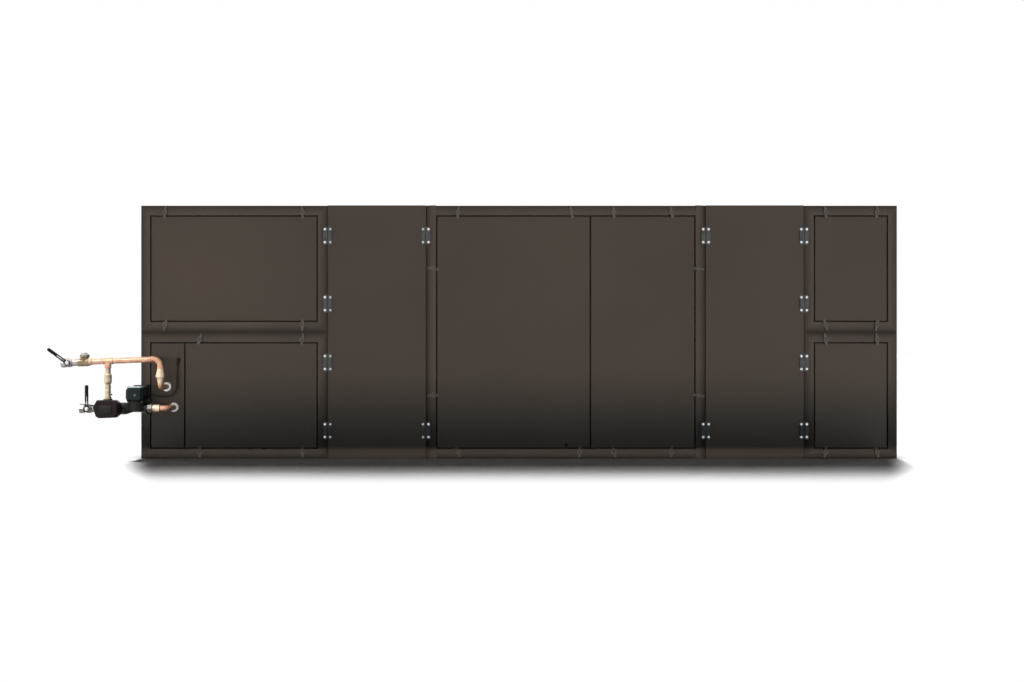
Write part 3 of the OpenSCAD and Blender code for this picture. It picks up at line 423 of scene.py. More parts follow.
gold_brass = turned_brass("strainer_brass", (0.12, 0.07, 0.03), (0.30, 0.21, 0.11), (0.46, 0.36, 0.22))
cream_brass = turned_brass("union_brass", (0.43, 0.29, 0.17), (0.71, 0.53, 0.36), (0.83, 0.68, 0.47))
bronze = turned_brass("nipple_bronze", (0.44, 0.26, 0.16), (0.72, 0.48, 0.32), (0.85, 0.62, 0.43))
tin = solder("soft_solder")
rubber = black_rubber("seal_rubber", 1.0)

for part in frame["record"]["subparts"]:
    part_mesh = nodes[part["node"]].data
    part_mesh.materials.clear()
    part_mesh.materials.append(looks[part["material_slot"]])
cable.data.materials.append(looks["cable"])
nodes["pump_union_nuts"].data.materials[0] = nut_nickel
nodes["lower_valve"].data.materials[0] = dull_nickel
nodes["upper_union"].data.materials[0] = cream_brass
nodes["drain_plug"].data.materials[0] = rubber


def second_look(node, look, chosen):
    """Gives the faces of a node whose centres are chosen a further material."""
    data = nodes[node].data
    data.materials.append(look)
    for face in data.polygons:
        if chosen(face.center):
            face.material_index = len(data.materials) - 1


# The strainer's body is bare brass under its plated cap and ends in bronze, both lines have a paler nipple,
# and the circulator's left nut and the bypass's drain plug are black
strainer_start = 0.052
strainer_end = 0.098
strainer_cap_low = 0.0255
nipple_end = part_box("pump_union_nuts")[1].x + 0.035
union_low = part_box("upper_union")[0].z + 0.002
union_nipple = 0.036
bypass_plug_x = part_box("bypass_valve")[0].x + 0.033
bypass_plug_z = lower_axis.z + 0.08
left_nut_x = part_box("pump_volute")[0].x + 0.02


def past_valve(point):
    """How far a point is along the upper line from the valve's centre."""
    return (point - upper_axis).dot(upper_run)


second_look("strainer_valve", gold_brass, lambda point: past_valve(point) > strainer_start)
second_look("strainer_valve", cap_nickel, lambda point: (
    past_valve(point) > strainer_start
    and (point - upper_axis).dot(upper_run.cross(rear)) > strainer_cap_low))
second_look("strainer_valve", bronze, lambda point: past_valve(point) > strainer_end)
second_look("bypass_valve", nut_black, lambda point: point.x > bypass_plug_x and point.z < bypass_plug_z)
second_look("upper_pipe", bronze, lambda point: 0 < union_low - point.z < union_nipple)
second_look("lower_pipe", cream_brass, lambda point: point.x < nipple_end)
second_look("pump_union_nuts", nut_black, lambda point: point.x < left_nut_x)


# Mesh helpers
def place_mesh(name, mesh, look, body="casing"):
    """Turns a bmesh into a piece that rides on a body."""
    data = bpy.data.meshes.new(name)
    bmesh.ops.recalc_face_normals(mesh, faces=mesh.faces)
    mesh.to_mesh(data)
    mesh.free()
    data.polygons.foreach_set("use_smooth", [True] * len(data.polygons))
    data.set_sharp_from_angle(angle=math.radians(32))
    data.materials.append(look)
    piece = bpy.data.objects.new(name, data)
    scene.collection.objects.link(piece)
    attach(piece, body)
    return piece


def around(count, first, second, turn=0.0):
    """Even directions round a circle, from a first direction towards a second."""
    for k in range(count):
        angle = turn + 2 * math.pi * k / count
        yield first * math.cos(angle) + second * math.sin(angle)


def add_skin(mesh, low, high):
    """Faces between two rings of points."""
    sides = len(low)
    for k in range(sides):
        mesh.faces.new((low[k], low[(k + 1) % sides], high[(k + 1) % sides], high[k]))


def add_lathe(mesh, profile, base, direction, sides, turn=0.0, hollow=False):
    """A turned shape of (radius, height) points round an axis, capped, or a ring of closed section."""
    move = Matrix.Translation(base) @ Vector(direction).to_track_quat("Z", "Y").to_matrix().to_4x4()
    rings = []
    for radius, height in profile:
        places = [outward * radius + up * height for outward in around(sides, right, rear, turn)]
        rings.append([mesh.verts.new(move @ place) for place in places])
    for low, high in zip(rings, rings[1:]):
        add_skin(mesh, low, high)
    if hollow:
        add_skin(mesh, rings[-1], rings[0])
    else:
        mesh.faces.new(list(reversed(rings[0])))
        mesh.faces.new(rings[-1])


def add_block(mesh, middle, along, across, size, bevel=0.0):
    """A box turned so that its X lies along one direction and its Y across another."""
    along = Vector(along).normalized()
    across = Vector(across).normalized()
    turn = Matrix((along, across, along.cross(across))).transposed().to_4x4()
    made = bmesh.ops.create_cube(mesh, size=1)["verts"]
    move = Matrix.Translation(middle) @ turn @ Matrix.Diagonal((*size, 1))
    bmesh.ops.transform(mesh, matrix=move, verts=made)
    if bevel:
        edges = list({edge for vert in made for edge in vert.link_edges})
        bmesh.ops.bevel(mesh, geom=edges, offset=bevel, segments=2, affect="EDGES", profile=0.5)


def add_rod(mesh, start, end, radius, sides=8):
    """A straight round rod between two points."""
    along = (Vector(end) - Vector(start)).normalized()
    side = along.cross(Vector((0.31, 0.52, 0.79))).normalized()
    rings = []
    for point in (start, end):
        places = [Vector(point) + outward * radius for outward in around(sides, side, along.cross(side))]
        rings.append([mesh.verts.new(place) for place in places])
    add_skin(mesh, *rings)
    for ring in rings:
        mesh.faces.new(ring)


def islands(node):
    """The separate solids of a node, each as a list of its points."""
    mesh = bmesh.new()
    mesh.from_mesh(nodes[node].data)
    bmesh.ops.remove_doubles(mesh, verts=mesh.verts, dist=1e-6)
    seen = set()
    groups = []
    for start in mesh.verts:
        if start in seen:
            continue
        seen.add(start)
        queue = [start]
        group = []
        while queue:
            vert = queue.pop()
            group.append(vert.co.copy())
            for edge in vert.link_edges:
                other = edge.other_vert(vert)
                if other not in seen:
                    seen.add(other)
                    queue.append(other)
        groups.append(group)
    mesh.free()
    return groups


def corners(points):
    """Low and high corner of the box round points."""
    return Vector(map(min, zip(*points))), Vector(map(max, zip(*points)))


def middle_of(points):
    """Centre of the box round points."""
    low, high = corners(points)
    return (low + high) / 2


# Screws and bolts
def add_hex_bolt(mesh, base, direction, turn, head_r=0.0058, head_t=0.0045):
    """Washer and chamfered hexagon head."""
    washer_r = head_r * 1.13
    washer_t = head_t * 0.28
    washer = [(washer_r, 0), (washer_r, washer_t * 0.7), (washer_r * 0.95, washer_t)]
    add_lathe(mesh, washer, base, direction, 20)
    seat = Vector(base) + Vector(direction) * washer_t
    add_lathe(mesh, [
        (head_r * 0.96, 0), (head_r, head_t * 0.12), (head_r, head_t * 0.78), (head_r * 0.86, head_t),
    ], seat, direction, 6, turn)


def add_socket_screw(mesh, base, direction, radius, height, turn=0.0):
    """Cylinder head with a hollow in its middle."""
    add_lathe(mesh, [
        (radius, 0), (radius, height * 0.8), (radius * 0.9, height),
        (radius * 0.5, height), (radius * 0.45, height * 0.3),
    ], base, direction, 12, turn)


def add_pan_head(mesh, base, direction, radius, height):
    """Low domed screw head."""
    add_lathe(mesh, [
        (radius, 0), (radius * 0.96, height * 0.45), (radius * 0.75, height * 0.85), (radius * 0.35, height),
    ], base, direction, 12)


# Hex bolts on the section connectors, front and back
bolt_shift_x = 0.0135
bolt_shift_z = 0.032
lug_foot_t = 0.007


def connector_bolts(node, outward):
    """Two bolts on every lug of a row of connectors, duller on the left plain section."""
    bright = bmesh.new()
    dull = bmesh.new()
    foot_y = outward * (back_y + lug_foot_t)
    for count, points in enumerate(islands(node)):
        centre = middle_of(points)
        joint = min(joints_x, key=lambda x: abs(x - centre.x))
        side = 1 if centre.x > joint else -1
        mesh = dull if joints_x[0] < centre.x < joints_x[1] else bright
        for level in (-1, 1):
            base = (joint + side * bolt_shift_x, foot_y, centre.z + level * bolt_shift_z)
            add_hex_bolt(mesh, base, (0, outward, 0), 0.7 * count + 1.9 * level)
    place_mesh(node + "_bolts", bright, zinc)
    place_mesh(node + "_dull_bolts", dull, dull_zinc)


connector_bolts("front_connectors", -1)
connector_bolts("back_connectors", 1)

# Socket screws in the hubs of the panel clamps
clamp_screw_r = 0.0052
clamp_screw_t = 0.0035
hub_floor = 0.006


def clamp_screws():
    """A screw with a hollow head at the bottom of each hub's pocket."""
    mesh = bmesh.new()
    for count, points in enumerate(islands("panel_clamps")):
        crown_y = min(p.y for p in points)
        hub = middle_of([p for p in points if p.y < crown_y + 1e-4])
        add_socket_screw(
            mesh, (hub.x, crown_y + hub_floor, hub.z), (0, -1, 0), clamp_screw_r, clamp_screw_t, 0.4 * count)
    place_mesh("clamp_screws", mesh, dark_steel)


clamp_screws()

# Rubber seals in the gaps round the framed panels
panel_gap = 0.006
seal_r = 0.0029
seal_depth = 0.024


def add_seal(mesh, low, high, normal, depth_at):
    """A closed seal round a panel's box, seen along its normal axis (0, 1 or 2)."""
    first, second = [axis for axis in range(3) if axis != normal]
    reach = panel_gap / 2
    path = []
    for a, b in ((0, 0), (1, 0), (1, 1), (0, 1), (0, 0)):
        place = Vector((0, 0, 0))
        place[normal] = depth_at
        place[first] = (high if a else low)[first] + (reach if a else -reach)
        place[second] = (high if b else low)[second] + (reach if b else -reach)
        path.append(place)
    for start, end in zip(path, path[1:]):
        add_rod(mesh, start, end, seal_r)


def panel_seals():
    """Seals of the front, the back and the roof; plain sections have none."""
    mesh = bmesh.new()
    seal_y = front_y + seal_depth
    for names in (
        ["left_upper_panel"], ["coil_cover_panel", "left_lower_panel"],
        ["centre_left_panel", "centre_right_panel"], ["right_upper_panel"], ["right_lower_panel"],
    ):
        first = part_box(names[0])
        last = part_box(names[-1])
        add_seal(mesh, first[0], last[1], 1, seal_y)
        if len(names) > 1:
            split = (first[1].x + last[0].x) / 2
            add_rod(mesh, (split, seal_y, first[0].z), (split, seal_y, first[1].z), seal_r)
    for points in islands("back_panels"):
        low, high = corners(points)
        if low.z > panel_gap:
            add_seal(mesh, low, high, 1, back_y - seal_depth)
    for points in islands("roof_panels"):
        low, high = corners(points)
        if min(abs(low.x - joint) for joint in joints_x) > panel_gap:
            add_seal(mesh, low, high, 2, top_z - seal_depth)
    place_mesh("panel_seals", mesh, rubber)


panel_seals()

# Pan-head screws of the fixed panels at the back and on the roof
panel_screw_r = 0.0055
panel_screw_t = 0.0022
panel_screw_edge = 0.022
panel_screw_step = 0.24


def edge_places(low, high):
    """Even places between two ends, panel_screw_edge in from both."""
    start = low + panel_screw_edge
    span = high - low - 2 * panel_screw_edge
    steps = max(1, round(span / panel_screw_step))
    return [start + span * i / steps for i in range(steps + 1)]


def panel_screws():
    """A row of screws round the edge of each back and roof panel."""
    mesh = bmesh.new()
    for node, normal, face, outward in (("back_panels", 1, back_y, rear), ("roof_panels", 2, top_z, up)):
        second = 3 - normal
        for points in islands(node):
            low, high = corners(points)
            xs = edge_places(low.x, high.x)
            others = edge_places(low[second], high[second])
            spots = [(x, o) for x in xs for o in (others[0], others[-1])]
            spots += [(x, o) for x in (xs[0], xs[-1]) for o in others[1:-1]]
            for x, o in spots:
                place = Vector((x, 0, 0))
                place[normal] = face
                place[second] = o
                add_pan_head(mesh, place, outward, panel_screw_r, panel_screw_t)
    place_mesh("panel_screws", mesh, dark_steel)


panel_screws()

# Lever nuts, their bosses and grip ridges; turned shapes are (radius, height) points
lever_face = 0.038
sleeve_face = 0.043
lever_washer = [(0.0092, 0), (0.0092, 0.0012), (0.0086, 0.0017)]
lever_nut = [(0.0072, 0), (0.0076, 0.0006), (0.0076, 0.0056), (0.0064, 0.0068)]
stem_end = [(0.0042, 0), (0.0042, 0.0018), (0.0034, 0.0026)]
lever_boss = [(0.0128, -0.0035), (0.0138, -0.0025), (0.0138, -0.0002), (0.0128, 0.0006)]
ridge_first = 0.060
ridge_step = 0.006
ridge_count = 6
ridge_size = (0.0022, 0.0016, 0.0118)


def lever_fittings(node, body, axis_point):
    """Zinc nut with its washer on the stem, a black boss round it, and grip ridges across the sleeve."""
    stem = Vector((axis_point.x, axis_point.y - lever_face, axis_point.z))
    seat = stem
    mesh = bmesh.new()
    for profile, sides, turn in ((lever_washer, 24, 0.0), (lever_nut, 6, 0.35), (stem_end, 16, 0.0)):
        add_lathe(mesh, profile, seat, -rear, sides, turn)
        seat = seat - rear * profile[-1][1]
    place_mesh(node + "_nut", mesh, zinc, body)
    points = [Vector(vert.co) for vert in nodes[node].data.vertices]
    tip = max(points, key=lambda p: (p.x - stem.x) ** 2 + (p.z - stem.z) ** 2)
    along = Vector((tip.x - stem.x, 0, tip.z - stem.z)).normalized()
    mesh = bmesh.new()
    add_lathe(mesh, lever_boss, stem, -rear, 36)
    for k in range(ridge_count):
        middle = Vector((stem.x, axis_point.y - sleeve_face, stem.z)) + along * (ridge_first + k * ridge_step)
        add_block(mesh, middle, along, rear, ridge_size, 0.0006)
    place_mesh(node + "_grip", mesh, looks["lever_sleeve"], body)


lever_fittings("upper_valve_lever", "upper_lever", upper_axis)
lever_fittings("lower_valve_lever", "lower_lever", lower_axis)

# Shut-off valves: thread turns in the open ends and packing nuts round the bonnets
thread_r = 0.01515
thread_root = 0.0002
thread_crest = 0.0008
thread_pitch = 0.0023
thread_turns = 7
thread_start = 0.0015
packing_low = 0.0235
packing_nut = [(0.0122, 0), (0.0128, 0.0006), (0.0128, 0.0065), (0.0116, 0.0075)]


def valve_fittings(name, end, run, axis_point):
    """Ridges of the inside thread, and the packing nut under the lever."""
    mesh = bmesh.new()
    root_r = thread_r + thread_root
    ridge = [(root_r, 0), (thread_r - thread_crest, thread_pitch / 2), (root_r, thread_pitch)]
    for k in range(thread_turns):
        add_lathe(mesh, ridge, end + run * (thread_start + k * thread_pitch), run, 40, hollow=True)
    add_lathe(mesh, packing_nut, axis_point - rear * packing_low, -rear, 6, 0.2)
    place_mesh(name, mesh, looks["brass"])


valve_fittings("upper_valve_fittings", upper_end, upper_run, upper_axis)
valve_fittings("lower_valve_fittings", lower_end, right, lower_axis)

# Solder at the copper joints
pipe_r = 0.014
sleeve_r = 0.016
nipple_r = 0.018
tee_reach = 0.026
elbow_reach = 0.047
bypass_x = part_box("bypass_valve")[0].x + 0.0185
tee = upper_axis + upper_run * ((bypass_x - upper_axis.x) / upper_run.x)


def solder_joints():
    """A fillet where each pipe leaves its fitting."""
    pipe_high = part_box("upper_pipe")[1]
    elbow = Vector((pipe_high.x - sleeve_r - elbow_reach, tee.y, pipe_high.z - sleeve_r))
    nipple = Vector((nipple_end, lower_axis.y, lower_axis.z))
    mesh = bmesh.new()
    for base, direction, outer_r in (
        (tee - upper_run * tee_reach, -upper_run, sleeve_r),
        (tee + upper_run * tee_reach, upper_run, sleeve_r),
        (elbow, -right, sleeve_r),
        (nipple, right, nipple_r),
    ):
        add_lathe(mesh, [
            (outer_r - 0.0006, -0.0004), (outer_r + 0.0002, 0.0006), (pipe_r + 0.0008, 0.0022),
            (pipe_r + 0.0001, 0.0040), (pipe_r - 0.0012, 0.0040),
        ], base, direction, 40)
    place_mesh("solder_joints", mesh, tin)


solder_joints()

# Strainer cap: grip ribs round its crown
strainer_x = 0.075
crown_low = 0.034
crown_high = 0.046
crown_low_r = 0.021
crown_high_r = 0.011
crown_ribs = 12
crown_rib_w = 0.0026
crown_rib_t = 0.0022


def strainer_ribs():
    """Ribs up the cone of the cap and a rim under it."""
    upward = upper_run.cross(rear)
    centre = upper_axis + upper_run * strainer_x
    slope = Vector((crown_high_r - crown_low_r, crown_high - crown_low))
    size = (slope.length * 0.86, crown_rib_w, crown_rib_t)
    mesh = bmesh.new()
    add_lathe(mesh, [
        (crown_low_r + 0.0005, -0.0012), (crown_low_r + 0.0022, -0.0004),
        (crown_low_r + 0.0022, 0.0010), (crown_low_r + 0.0002, 0.0016),
    ], centre + upward * crown_low, upward, 40, hollow=True)
    for outward in around(crown_ribs, upper_run, rear):
        along = outward * slope.x + upward * slope.y
        middle = centre + outward * (crown_low_r + crown_high_r) / 2 + upward * (crown_low + crown_high) / 2
        add_block(mesh, middle, along, outward.cross(upward), size, 0.0006)
    place_mesh("strainer_ribs", mesh, cap_nickel)


strainer_ribs()

# Circulator: vent screw, lids with their screws, bolts of the casting and ribs of the motor
motor_low, motor_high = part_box("pump_motor")
box_low, box_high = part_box("pump_terminal_box")
volute_low, volute_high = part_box("pump_volute")
vent_screw = [
    (0.0068, 0), (0.0068, 0.0016), (0.0060, 0.0028), (0.0044, 0.0028), (0.0040, 0.0018), (0.0018, 0.0018),
]
vent_x = 0.006
vent_z = 0.021
motor_lid_t = 0.0065
motor_lid_edge = 0.006
motor_screw_x = 0.026
motor_screw_y = 0.031
box_lid_t = 0.0018
box_screw_x = 0.025
box_screw_y = 0.0135
cast_bolt_reach = 0.0315
cast_bolt_back = 0.049
cast_bolt_drop = 0.010
motor_ribs = 4
motor_rib_first = 0.010
motor_rib_step = 0.0105
motor_rib_size = (0.056, 0.0034, 0.0026)


def pump_fittings():
    """Vent screw in the motor's front, lids of motor and box with their screws, casting bolts and ribs."""
    motor = (motor_low + motor_high) / 2
    box = (box_low + box_high) / 2
    mesh = bmesh.new()
    add_lathe(mesh, vent_screw, (motor.x + vent_x, motor_low.y, motor_low.z + vent_z), -rear, 32)
    place_mesh("motor_vent_screw", mesh, nut_nickel)
    mesh = bmesh.new()
    for sx in (-1, 1):
        for sy in (-1, 1):
            screw = (motor.x + sx * motor_screw_x, motor.y + sy * motor_screw_y, motor_high.z + motor_lid_t)
            add_socket_screw(mesh, screw, up, 0.0042, 0.0016)
            bolt_y = volute_low.y + cast_bolt_back + sy * cast_bolt_reach
            bolt = (motor.x + sx * cast_bolt_reach, bolt_y, volute_high.z - cast_bolt_drop)
            add_hex_bolt(mesh, bolt, -up, 0.3, 0.006, 0.005)
            screw = (box.x + sx * box_screw_x, box.y + sy * box_screw_y, box_high.z + box_lid_t)
            add_pan_head(mesh, screw, up, 0.0036, 0.0012)
    place_mesh("pump_screws", mesh, dark_steel)
    mesh = bmesh.new()
    size = motor_high - motor_low - Vector((2 * motor_lid_edge, 2 * motor_lid_edge, 0))
    size.z = motor_lid_t
    add_block(mesh, (motor.x, motor.y, motor_high.z + motor_lid_t / 2), right, rear, size, 0.0016)
    # Pale paint on the motor lid: a painted highlight along the motor's top
    place_mesh("motor_lid", mesh, pale_lid_with_painted_highlight)
    mesh = bmesh.new()
    size = (box_high.x - box_low.x + 0.002, box_high.y - box_low.y - 0.001, box_lid_t)
    add_block(mesh, (box.x, box.y, box_high.z + box_lid_t / 2), right, rear, size, 0.0006)
    for k in range(motor_ribs):
        z = motor_low.z + motor_rib_first + k * motor_rib_step
        for x in (motor_low.x, motor_high.x):
            add_block(mesh, (x, motor.y, z), rear, up, motor_rib_size, 0.0008)
    place_mesh("motor_ribs", mesh, looks["pump_paint"])


pump_fittings()

# Circulator: grip ribs round its left union nut
union_ribs = 12
union_rib_w = 0.010
union_rib_t = 0.009


def union_fittings():
    """Ribs along the nut between the mixing valve and the circulator."""
    low, high = corners(min(islands("pump_union_nuts"), key=lambda points: middle_of(points).x))
    centre = (low + high) / 2
    radius = (high.z - low.z) / 2
    size = ((high.x - low.x) * 0.9, union_rib_w, union_rib_t)
    mesh = bmesh.new()
    for outward in around(union_ribs, up, rear, math.pi / union_ribs):
        add_block(mesh, centre + outward * radius, right, outward.cross(right), size, 0.0015)
    place_mesh("union_nut_ribs", mesh, nut_black)


union_fittings()

# Actuator: cover screws and the raised middle of the cover
cover_screws = ((-0.036, 0.029), (0.038, 0.026), (0.038, -0.022), (-0.030, -0.030))
cover_plate = (0.060, 0.005, 0.040)
cover_shift = Vector((0.002, -0.0010, -0.002))


def actuator_fittings():
    """Four dark screws in the cover's corners and a low raised plate between them."""
    low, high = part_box("mixing_actuator")
    front = (low + high) / 2
    front.y = low.y
    mesh = bmesh.new()
    for x, z in cover_screws:
        add_socket_screw(mesh, front + Vector((x, 0, z)), -rear, 0.0040, 0.0016)
    place_mesh("actuator_screws", mesh, looks["cast_iron"])
    mesh = bmesh.new()
    add_block(mesh, front + cover_shift, right, rear, cover_plate, 0.0022)
    place_mesh("actuator_cover", mesh, looks["cast_iron"])


actuator_fittings()

# Cable glands: ribs round the clamping nuts
gland_ribs = 10
gland_rib_size = (0.0085, 0.0022, 0.0018)
wall_gland_r = 0.0088
wall_gland_rise = 0.0185
box_gland_r = 0.0078
box_gland_reach = 0.0115


def gland_fittings():
    """Grip ribs on the nuts of both glands."""
    wall_gland = Vector(cable_route[-1]) + up * wall_gland_rise
    box_gland = Vector((box_high.x + box_gland_reach, cable_route[0][1], cable_route[0][2]))
    mesh = bmesh.new()
    for centre, axis, side, radius in (
        (wall_gland, up, right, wall_gland_r), (box_gland, right, rear, box_gland_r),
    ):
        for outward in around(gland_ribs, side, axis.cross(side)):
            add_block(mesh, centre + outward * radius, axis, outward.cross(axis), gland_rib_size, 0.0005)
    place_mesh("gland_ribs", mesh, looks["cable"])


gland_fittings()

# Drain plug: rim round the hollow of its face
drain_rim = [(0.0062, 0), (0.0062, 0.0012), (0.0054, 0.0018), (0.0034, 0.0018), (0.0032, 0.0004)]


def drain_fittings():
    """A raised rim with a hollow, as a key drives it."""
    low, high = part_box("drain_plug")
    centre = (low + high) / 2
    mesh = bmesh.new()
    add_lathe(mesh, drain_rim, (centre.x, low.y, centre.z), -rear, 24)
    place_mesh("drain_plug_rim", mesh, rubber)


drain_fittings()

# Heating coil: the thin fins in front of its block
core_frame = 0.034
fin_pitch = 0.0028
fin_t = 0.0004
fin_reach = 0.007
fin_set_back = 0.010


def coil_fins():
    """Upright fins across the coil's face."""
    low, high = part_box("heating_coil")
    face_x = low.x + fin_set_back
    start = low.y + core_frame
    count = int((high.y - low.y - 2 * core_frame) / fin_pitch)
    middle_z = (low.z + high.z) / 2
    tall = high.z - low.z - 2 * core_frame
    mesh = bmesh.new()
    for k in range(count):
        y = start + (k + 0.5) * fin_pitch
        add_block(mesh, (face_x - fin_reach / 2, y, middle_z), right, rear, (fin_reach, fin_t, tall))
    place_mesh("coil_face_fins", mesh, looks["coil_fins"])


coil_fins()

# Air filter: welded wire grid in front of the pleats
wire_r = 0.001
wire_step = 0.062
wire_overlap = 0.004
upright_lift = 0.0002
across_lift = 0.0010


def filter_grid():
    """Wires up and across, held on the filter's border."""
    low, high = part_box("air_filter")
    border = Vector((0, core_frame - wire_overlap, core_frame - wire_overlap))
    inner_low = low + border
    inner_high = high - border
    mesh = bmesh.new()
    for axis, other, lift in ((1, 2, upright_lift), (2, 1, across_lift)):
        span = inner_high[axis] - inner_low[axis]
        count = round(span / wire_step)
        for k in range(1, count):
            start = Vector((low.x - lift, 0, 0))
            start[axis] = inner_low[axis] + span * k / count
            start[other] = inner_low[other]
            end = start.copy()
            end[other] = inner_high[other]
            add_rod(mesh, start, end, wire_r)
    place_mesh("filter_wires", mesh, looks["galvanised"])


filter_grid()

# Duct frames: sealing tape round each opening
tape_w = 0.010
tape_t = 0.0025
tape_edge = 0.004
duct_frame_w = 0.040


def duct_tape():
    """Four strips of foam tape on the face of each duct frame."""
    mesh = bmesh.new()
    for node, face_x, outward in (("left_duct_frames", left_x, -1), ("right_duct_frames", right_x, 1)):
        for points in islands(node):
            low, high = corners(points)
            x = face_x + outward * tape_t / 2
            y_reach = high.y - duct_frame_w + tape_edge + tape_w / 2
            z_middle = (low.z + high.z) / 2
            z_reach = (high.z - low.z) / 2 - duct_frame_w + tape_edge + tape_w / 2
            for side in (-1, 1):
                add_block(mesh, (x, side * y_reach, z_middle), right, rear,
                          (tape_t, tape_w, 2 * z_reach - tape_w), 0.0006)
                add_block(mesh, (x, 0, z_middle + side * z_reach), right, rear,
                          (tape_t, 2 * y_reach + tape_w, tape_w), 0.0006)
    place_mesh("duct_tape", mesh, rubber)


duct_tape()

# Damper blades: lip seals along their edges
lip_r = 0.0016
lip_shift = 0.0024
lip_end = 0.006


def blade_seals():
    """A lip seal along each seam between two blades, and at the ends of the row."""
    mesh = bmesh.new()
    for node in ("upper_damper_blades", "lower_damper_blades"):
        blades = sorted((corners(points) for points in islands(node)), key=lambda box: box[0].z)
        seams = [(below[1].z + above[0].z) / 2 for below, above in zip(blades, blades[1:])]
        low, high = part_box(node)
        x = (low.x + high.x) / 2 + lip_shift
        for z in (low.z, *seams, high.z):
            add_rod(mesh, (x, low.y + lip_end, z), (x, high.y - lip_end, z), lip_r)
    place_mesh("blade_seals", mesh, rubber)


blade_seals()

# Floor, light and background
floor_reach = 60
floor_seen = 0.92
floor_bounced = 0.16
ambient_colour = (0.95, 0.97, 1.0)
ambient_level = 0.035


def split_by_ray(tree, hidden, seen, output):
    """Gives one shader to camera, glossy and transmission rays, and another to the rest."""
    path = tree.nodes.new("ShaderNodeLightPath")
    rays = [path.outputs[name] for name in ("Is Camera Ray", "Is Glossy Ray", "Is Transmission Ray")]
    pick = tree.nodes.new("ShaderNodeMixShader")
    tree.links.new(largest(tree, rays), pick.inputs["Fac"])
    tree.links.new(hidden, pick.inputs[1])
    tree.links.new(seen, pick.inputs[2])
    out = tree.nodes.new(output)
    tree.links.new(pick.outputs["Shader"], out.inputs["Surface"])


def plain_floor():
    """Pale floor: white to the eye and in reflections, and softer for the light that it bounces."""
    mesh = bmesh.new()
    bmesh.ops.create_grid(mesh, x_segments=1, y_segments=1, size=floor_reach)
    data = bpy.data.meshes.new("floor")
    mesh.to_mesh(data)
    mesh.free()
    look = bpy.data.materials.new("floor_white")
    look.use_nodes = True
    look.node_tree.nodes.clear()
    shades = []
    for tone in (floor_bounced, floor_seen):
        shade = look.node_tree.nodes.new("ShaderNodeBsdfDiffuse")
        shade.inputs["Color"].default_value = (tone, tone, tone, 1)
        shades.append(shade.outputs["BSDF"])
    split_by_ray(look.node_tree, *shades, "ShaderNodeOutputMaterial")
    data.materials.append(look)
    floor = bpy.data.objects.new("floor", data)
    scene.collection.objects.link(floor)
    return floor


def studio_world():
    """White to the eye and in reflections, with a low ambient level."""
    world = bpy.data.worlds.new("studio")
    scene.world = world
    world.use_nodes = True
    world.node_tree.nodes.clear()
    shades = []
    for colour, level in ((ambient_colour, ambient_level), ((1, 1, 1), 1.0)):
        shade = world.node_tree.nodes.new("ShaderNodeBackground")
        shade.inputs["Color"].default_value = (*colour, 1)
        shade.inputs["Strength"].default_value = level
        shades.append(shade.outputs["Background"])
    split_by_ray(world.node_tree, *shades, "ShaderNodeOutputWorld")


def sun(name, strength, angle, direction, receivers):
    """A soft sun that shines along a direction on a collection of receivers."""
    data = bpy.data.lights.new(name, "SUN")
    data.energy = strength
    data.angle = math.radians(angle)
    lamp = bpy.data.objects.new(name, data)
    lamp.rotation_euler = Vector(direction).to_track_quat("-Z", "Y").to_euler()
    lamp.light_linking.receiver_collection = receivers
    scene.collection.objects.link(lamp)


def softbox(name, level, size, place, target, spread, colour=(1, 1, 1), across=right, receivers=None):
    """A wide lamp of narrow spread with one side kept across; level is the light on a surface facing it."""
    data = bpy.data.lights.new(name, "AREA")
    data.shape = "RECTANGLE"
    data.size, data.size_y = size
    data.spread = math.radians(spread)
    data.color = colour
    data.energy = level * math.pi * size[0] * size[1]
    lamp = bpy.data.objects.new(name, data)
    lamp.location = place
    aim = (Vector(target) - Vector(place)).normalized()
    side = (across - aim * aim.dot(across)).normalized()
    lamp.rotation_euler = Matrix((side, side.cross(aim), -aim)).transposed().to_euler()
    lamp.visible_camera = False
    lamp.visible_glossy = False
    lamp.light_linking.receiver_collection = receivers
    scene.collection.objects.link(lamp)


# A row of suns stands for a strip lamp over and behind the casing, so that its shadow falls to the front:
# tilt from the vertical and share of the light. They light the floor, a lower one behind lights the unit's
# top, and a key from the upper left the pipe group.
overhead_level = 4.0
overhead_angle = 9
overhead_row = ((19, 0.10), (27, 0.20), (32, 0.25), (36, 0.25), (40, 0.20))
top_level = 2.0
top_tilt = 52
key_level = 3.9
key_angle = 8
key_direction = (0.42, 0.68, -0.60)
stand_out = 0.03


def downward(tilt):
    """Direction of light from behind, tilted from the vertical."""
    return (0, -math.sin(math.radians(tilt)), -math.cos(math.radians(tilt)))


ground, unit, casing, pipe_group, pipes = [
    bpy.data.collections.new(name) for name in ("ground", "unit", "casing", "pipe_group", "pipes")
]
for piece in scene.objects:
    if piece.type == "MESH":
        reach = min((piece.matrix_world @ vert.co).y for vert in piece.data.vertices)
        (pipe_group if reach < front_y - stand_out else casing).objects.link(piece)
        unit.objects.link(piece)
for name in ("upper_pipe", "lower_pipe", "upper_union", "pipe_rosettes"):
    pipes.objects.link(nodes[name])
casing.objects.link(cable)
unit.objects.link(cable)
ground.objects.link(plain_floor())
studio_world()
for count, (tilt, share) in enumerate(overhead_row):
    sun(f"overhead_{count}", overhead_level * share, overhead_angle, downward(tilt), ground)
sun("top", top_level, overhead_angle, downward(top_tilt), unit)
sun("key", key_level, key_angle, key_direction, pipe_group)

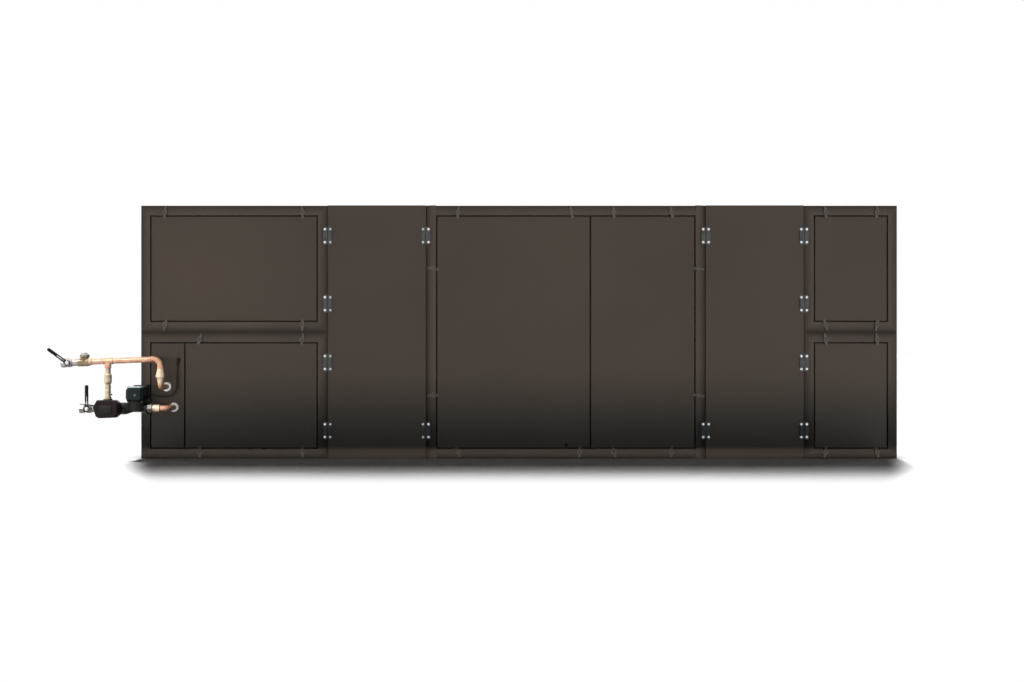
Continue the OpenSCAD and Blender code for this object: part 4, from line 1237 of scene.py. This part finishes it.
# The front lamps fan out and end above the floor, so the panels darken downwards to a cool fill;
# two small lamps make soft glows on the left and centre panels, as (x, z, level), one fills the shaded
# pipes, and a low strip lights the bottom rails
front_warm = (1, 0.97, 0.93)
fill_cool = (0.65, 0.85, 1.0)
fade_z = 0.29
front_level = 0.77
front_fan = ((-24, 0.14), (-12, 0.18), (0, 0.22), (12, 0.24), (24, 0.22))
front_reach = 9
front_size = (7.0, 3.2)
front_z = fade_z + front_size[1] / 2
rail_h = 0.05
fill_level = 0.18
fill_size = (7.0, 2.4)
fill_z = fill_size[1] / 2 - rail_h
near_reach = 2.4
glows = ((-1.56, 0.97, 0.5), (0.23, 1.05, 0.3))
glow_size = (0.3, 0.3)
pipe_level = 0.3
pipe_size = (0.8, 0.8)
pipe_x = lower_axis.x + 0.3
pipe_z = (upper_axis.z + lower_axis.z) / 2
toe_level = 0.66
toe_size = (4.6, rail_h)
toe_reach = 2
for count, (azimuth, share) in enumerate(front_fan):
    turned = math.radians(azimuth)
    level = front_level * share / math.cos(turned)
    place = (front_reach * math.sin(turned), front_y - front_reach * math.cos(turned), front_z)
    target = (0, front_y, front_z)
    softbox(f"front_{count}", level, front_size, place, target, 3, front_warm, receivers=casing)
place = (0, front_y - front_reach, fill_z)
softbox("front_fill", fill_level, fill_size, place, (0, 0, fill_z), 3, fill_cool, receivers=casing)
for count, (x, z, level) in enumerate(glows):
    place = (x, front_y - near_reach, z)
    softbox(f"glow_{count}", level, glow_size, place, (x, front_y, z), 22, front_warm, receivers=casing)
place = (pipe_x, front_y - near_reach, pipe_z)
softbox("pipe_fill", pipe_level, pipe_size, place, (pipe_x, 0, pipe_z), 30, front_warm, receivers=pipes)
softbox("toe", toe_level, toe_size, (0, front_y - toe_reach, rail_h / 2), (0, 0, rail_h / 2), 1, front_warm)

# The ends are lit from a little behind, and the back from straight behind. A lamp over the floor at each
# end clears the shadow there; its inner edge follows the line of sight past the corner.
end_level = 0.95
end_size = (3.4, 3.0)
end_reach = 6.4
end_back = 4.8
end_z = 1.55
back_level = 0.8
back_reach = 9
back_z = 1.7
wash_w = 3.0
wash_l = 1.6
wash_h = 2.6
wash_gap = 0.03
sight = math.atan2((right_x - left_x) / 2 + wash_gap, camera_distance)
for name, end_x, side in (("left_end", left_x, -1), ("right_end", right_x, 1)):
    softbox(name, end_level, end_size, (end_x + side * end_reach, end_back, end_z), (end_x, 0, end_z), 10)
    corner = Vector((end_x + side * wash_gap, front_y, 0))
    inward = Vector((-side * math.sin(sight), -math.cos(sight), 0))
    outward = Vector((side * math.cos(sight), -math.sin(sight), 0))
    middle = corner + inward * wash_l / 2 + outward * wash_w / 2
    softbox(name + "_floor", 1.0, (wash_w, wash_l), middle + up * wash_h, middle, 4, across=outward)
softbox("back", back_level, front_size, (0, back_y + back_reach, back_z), (0, 0, back_z), 8)

bpy.context.view_layer.update()
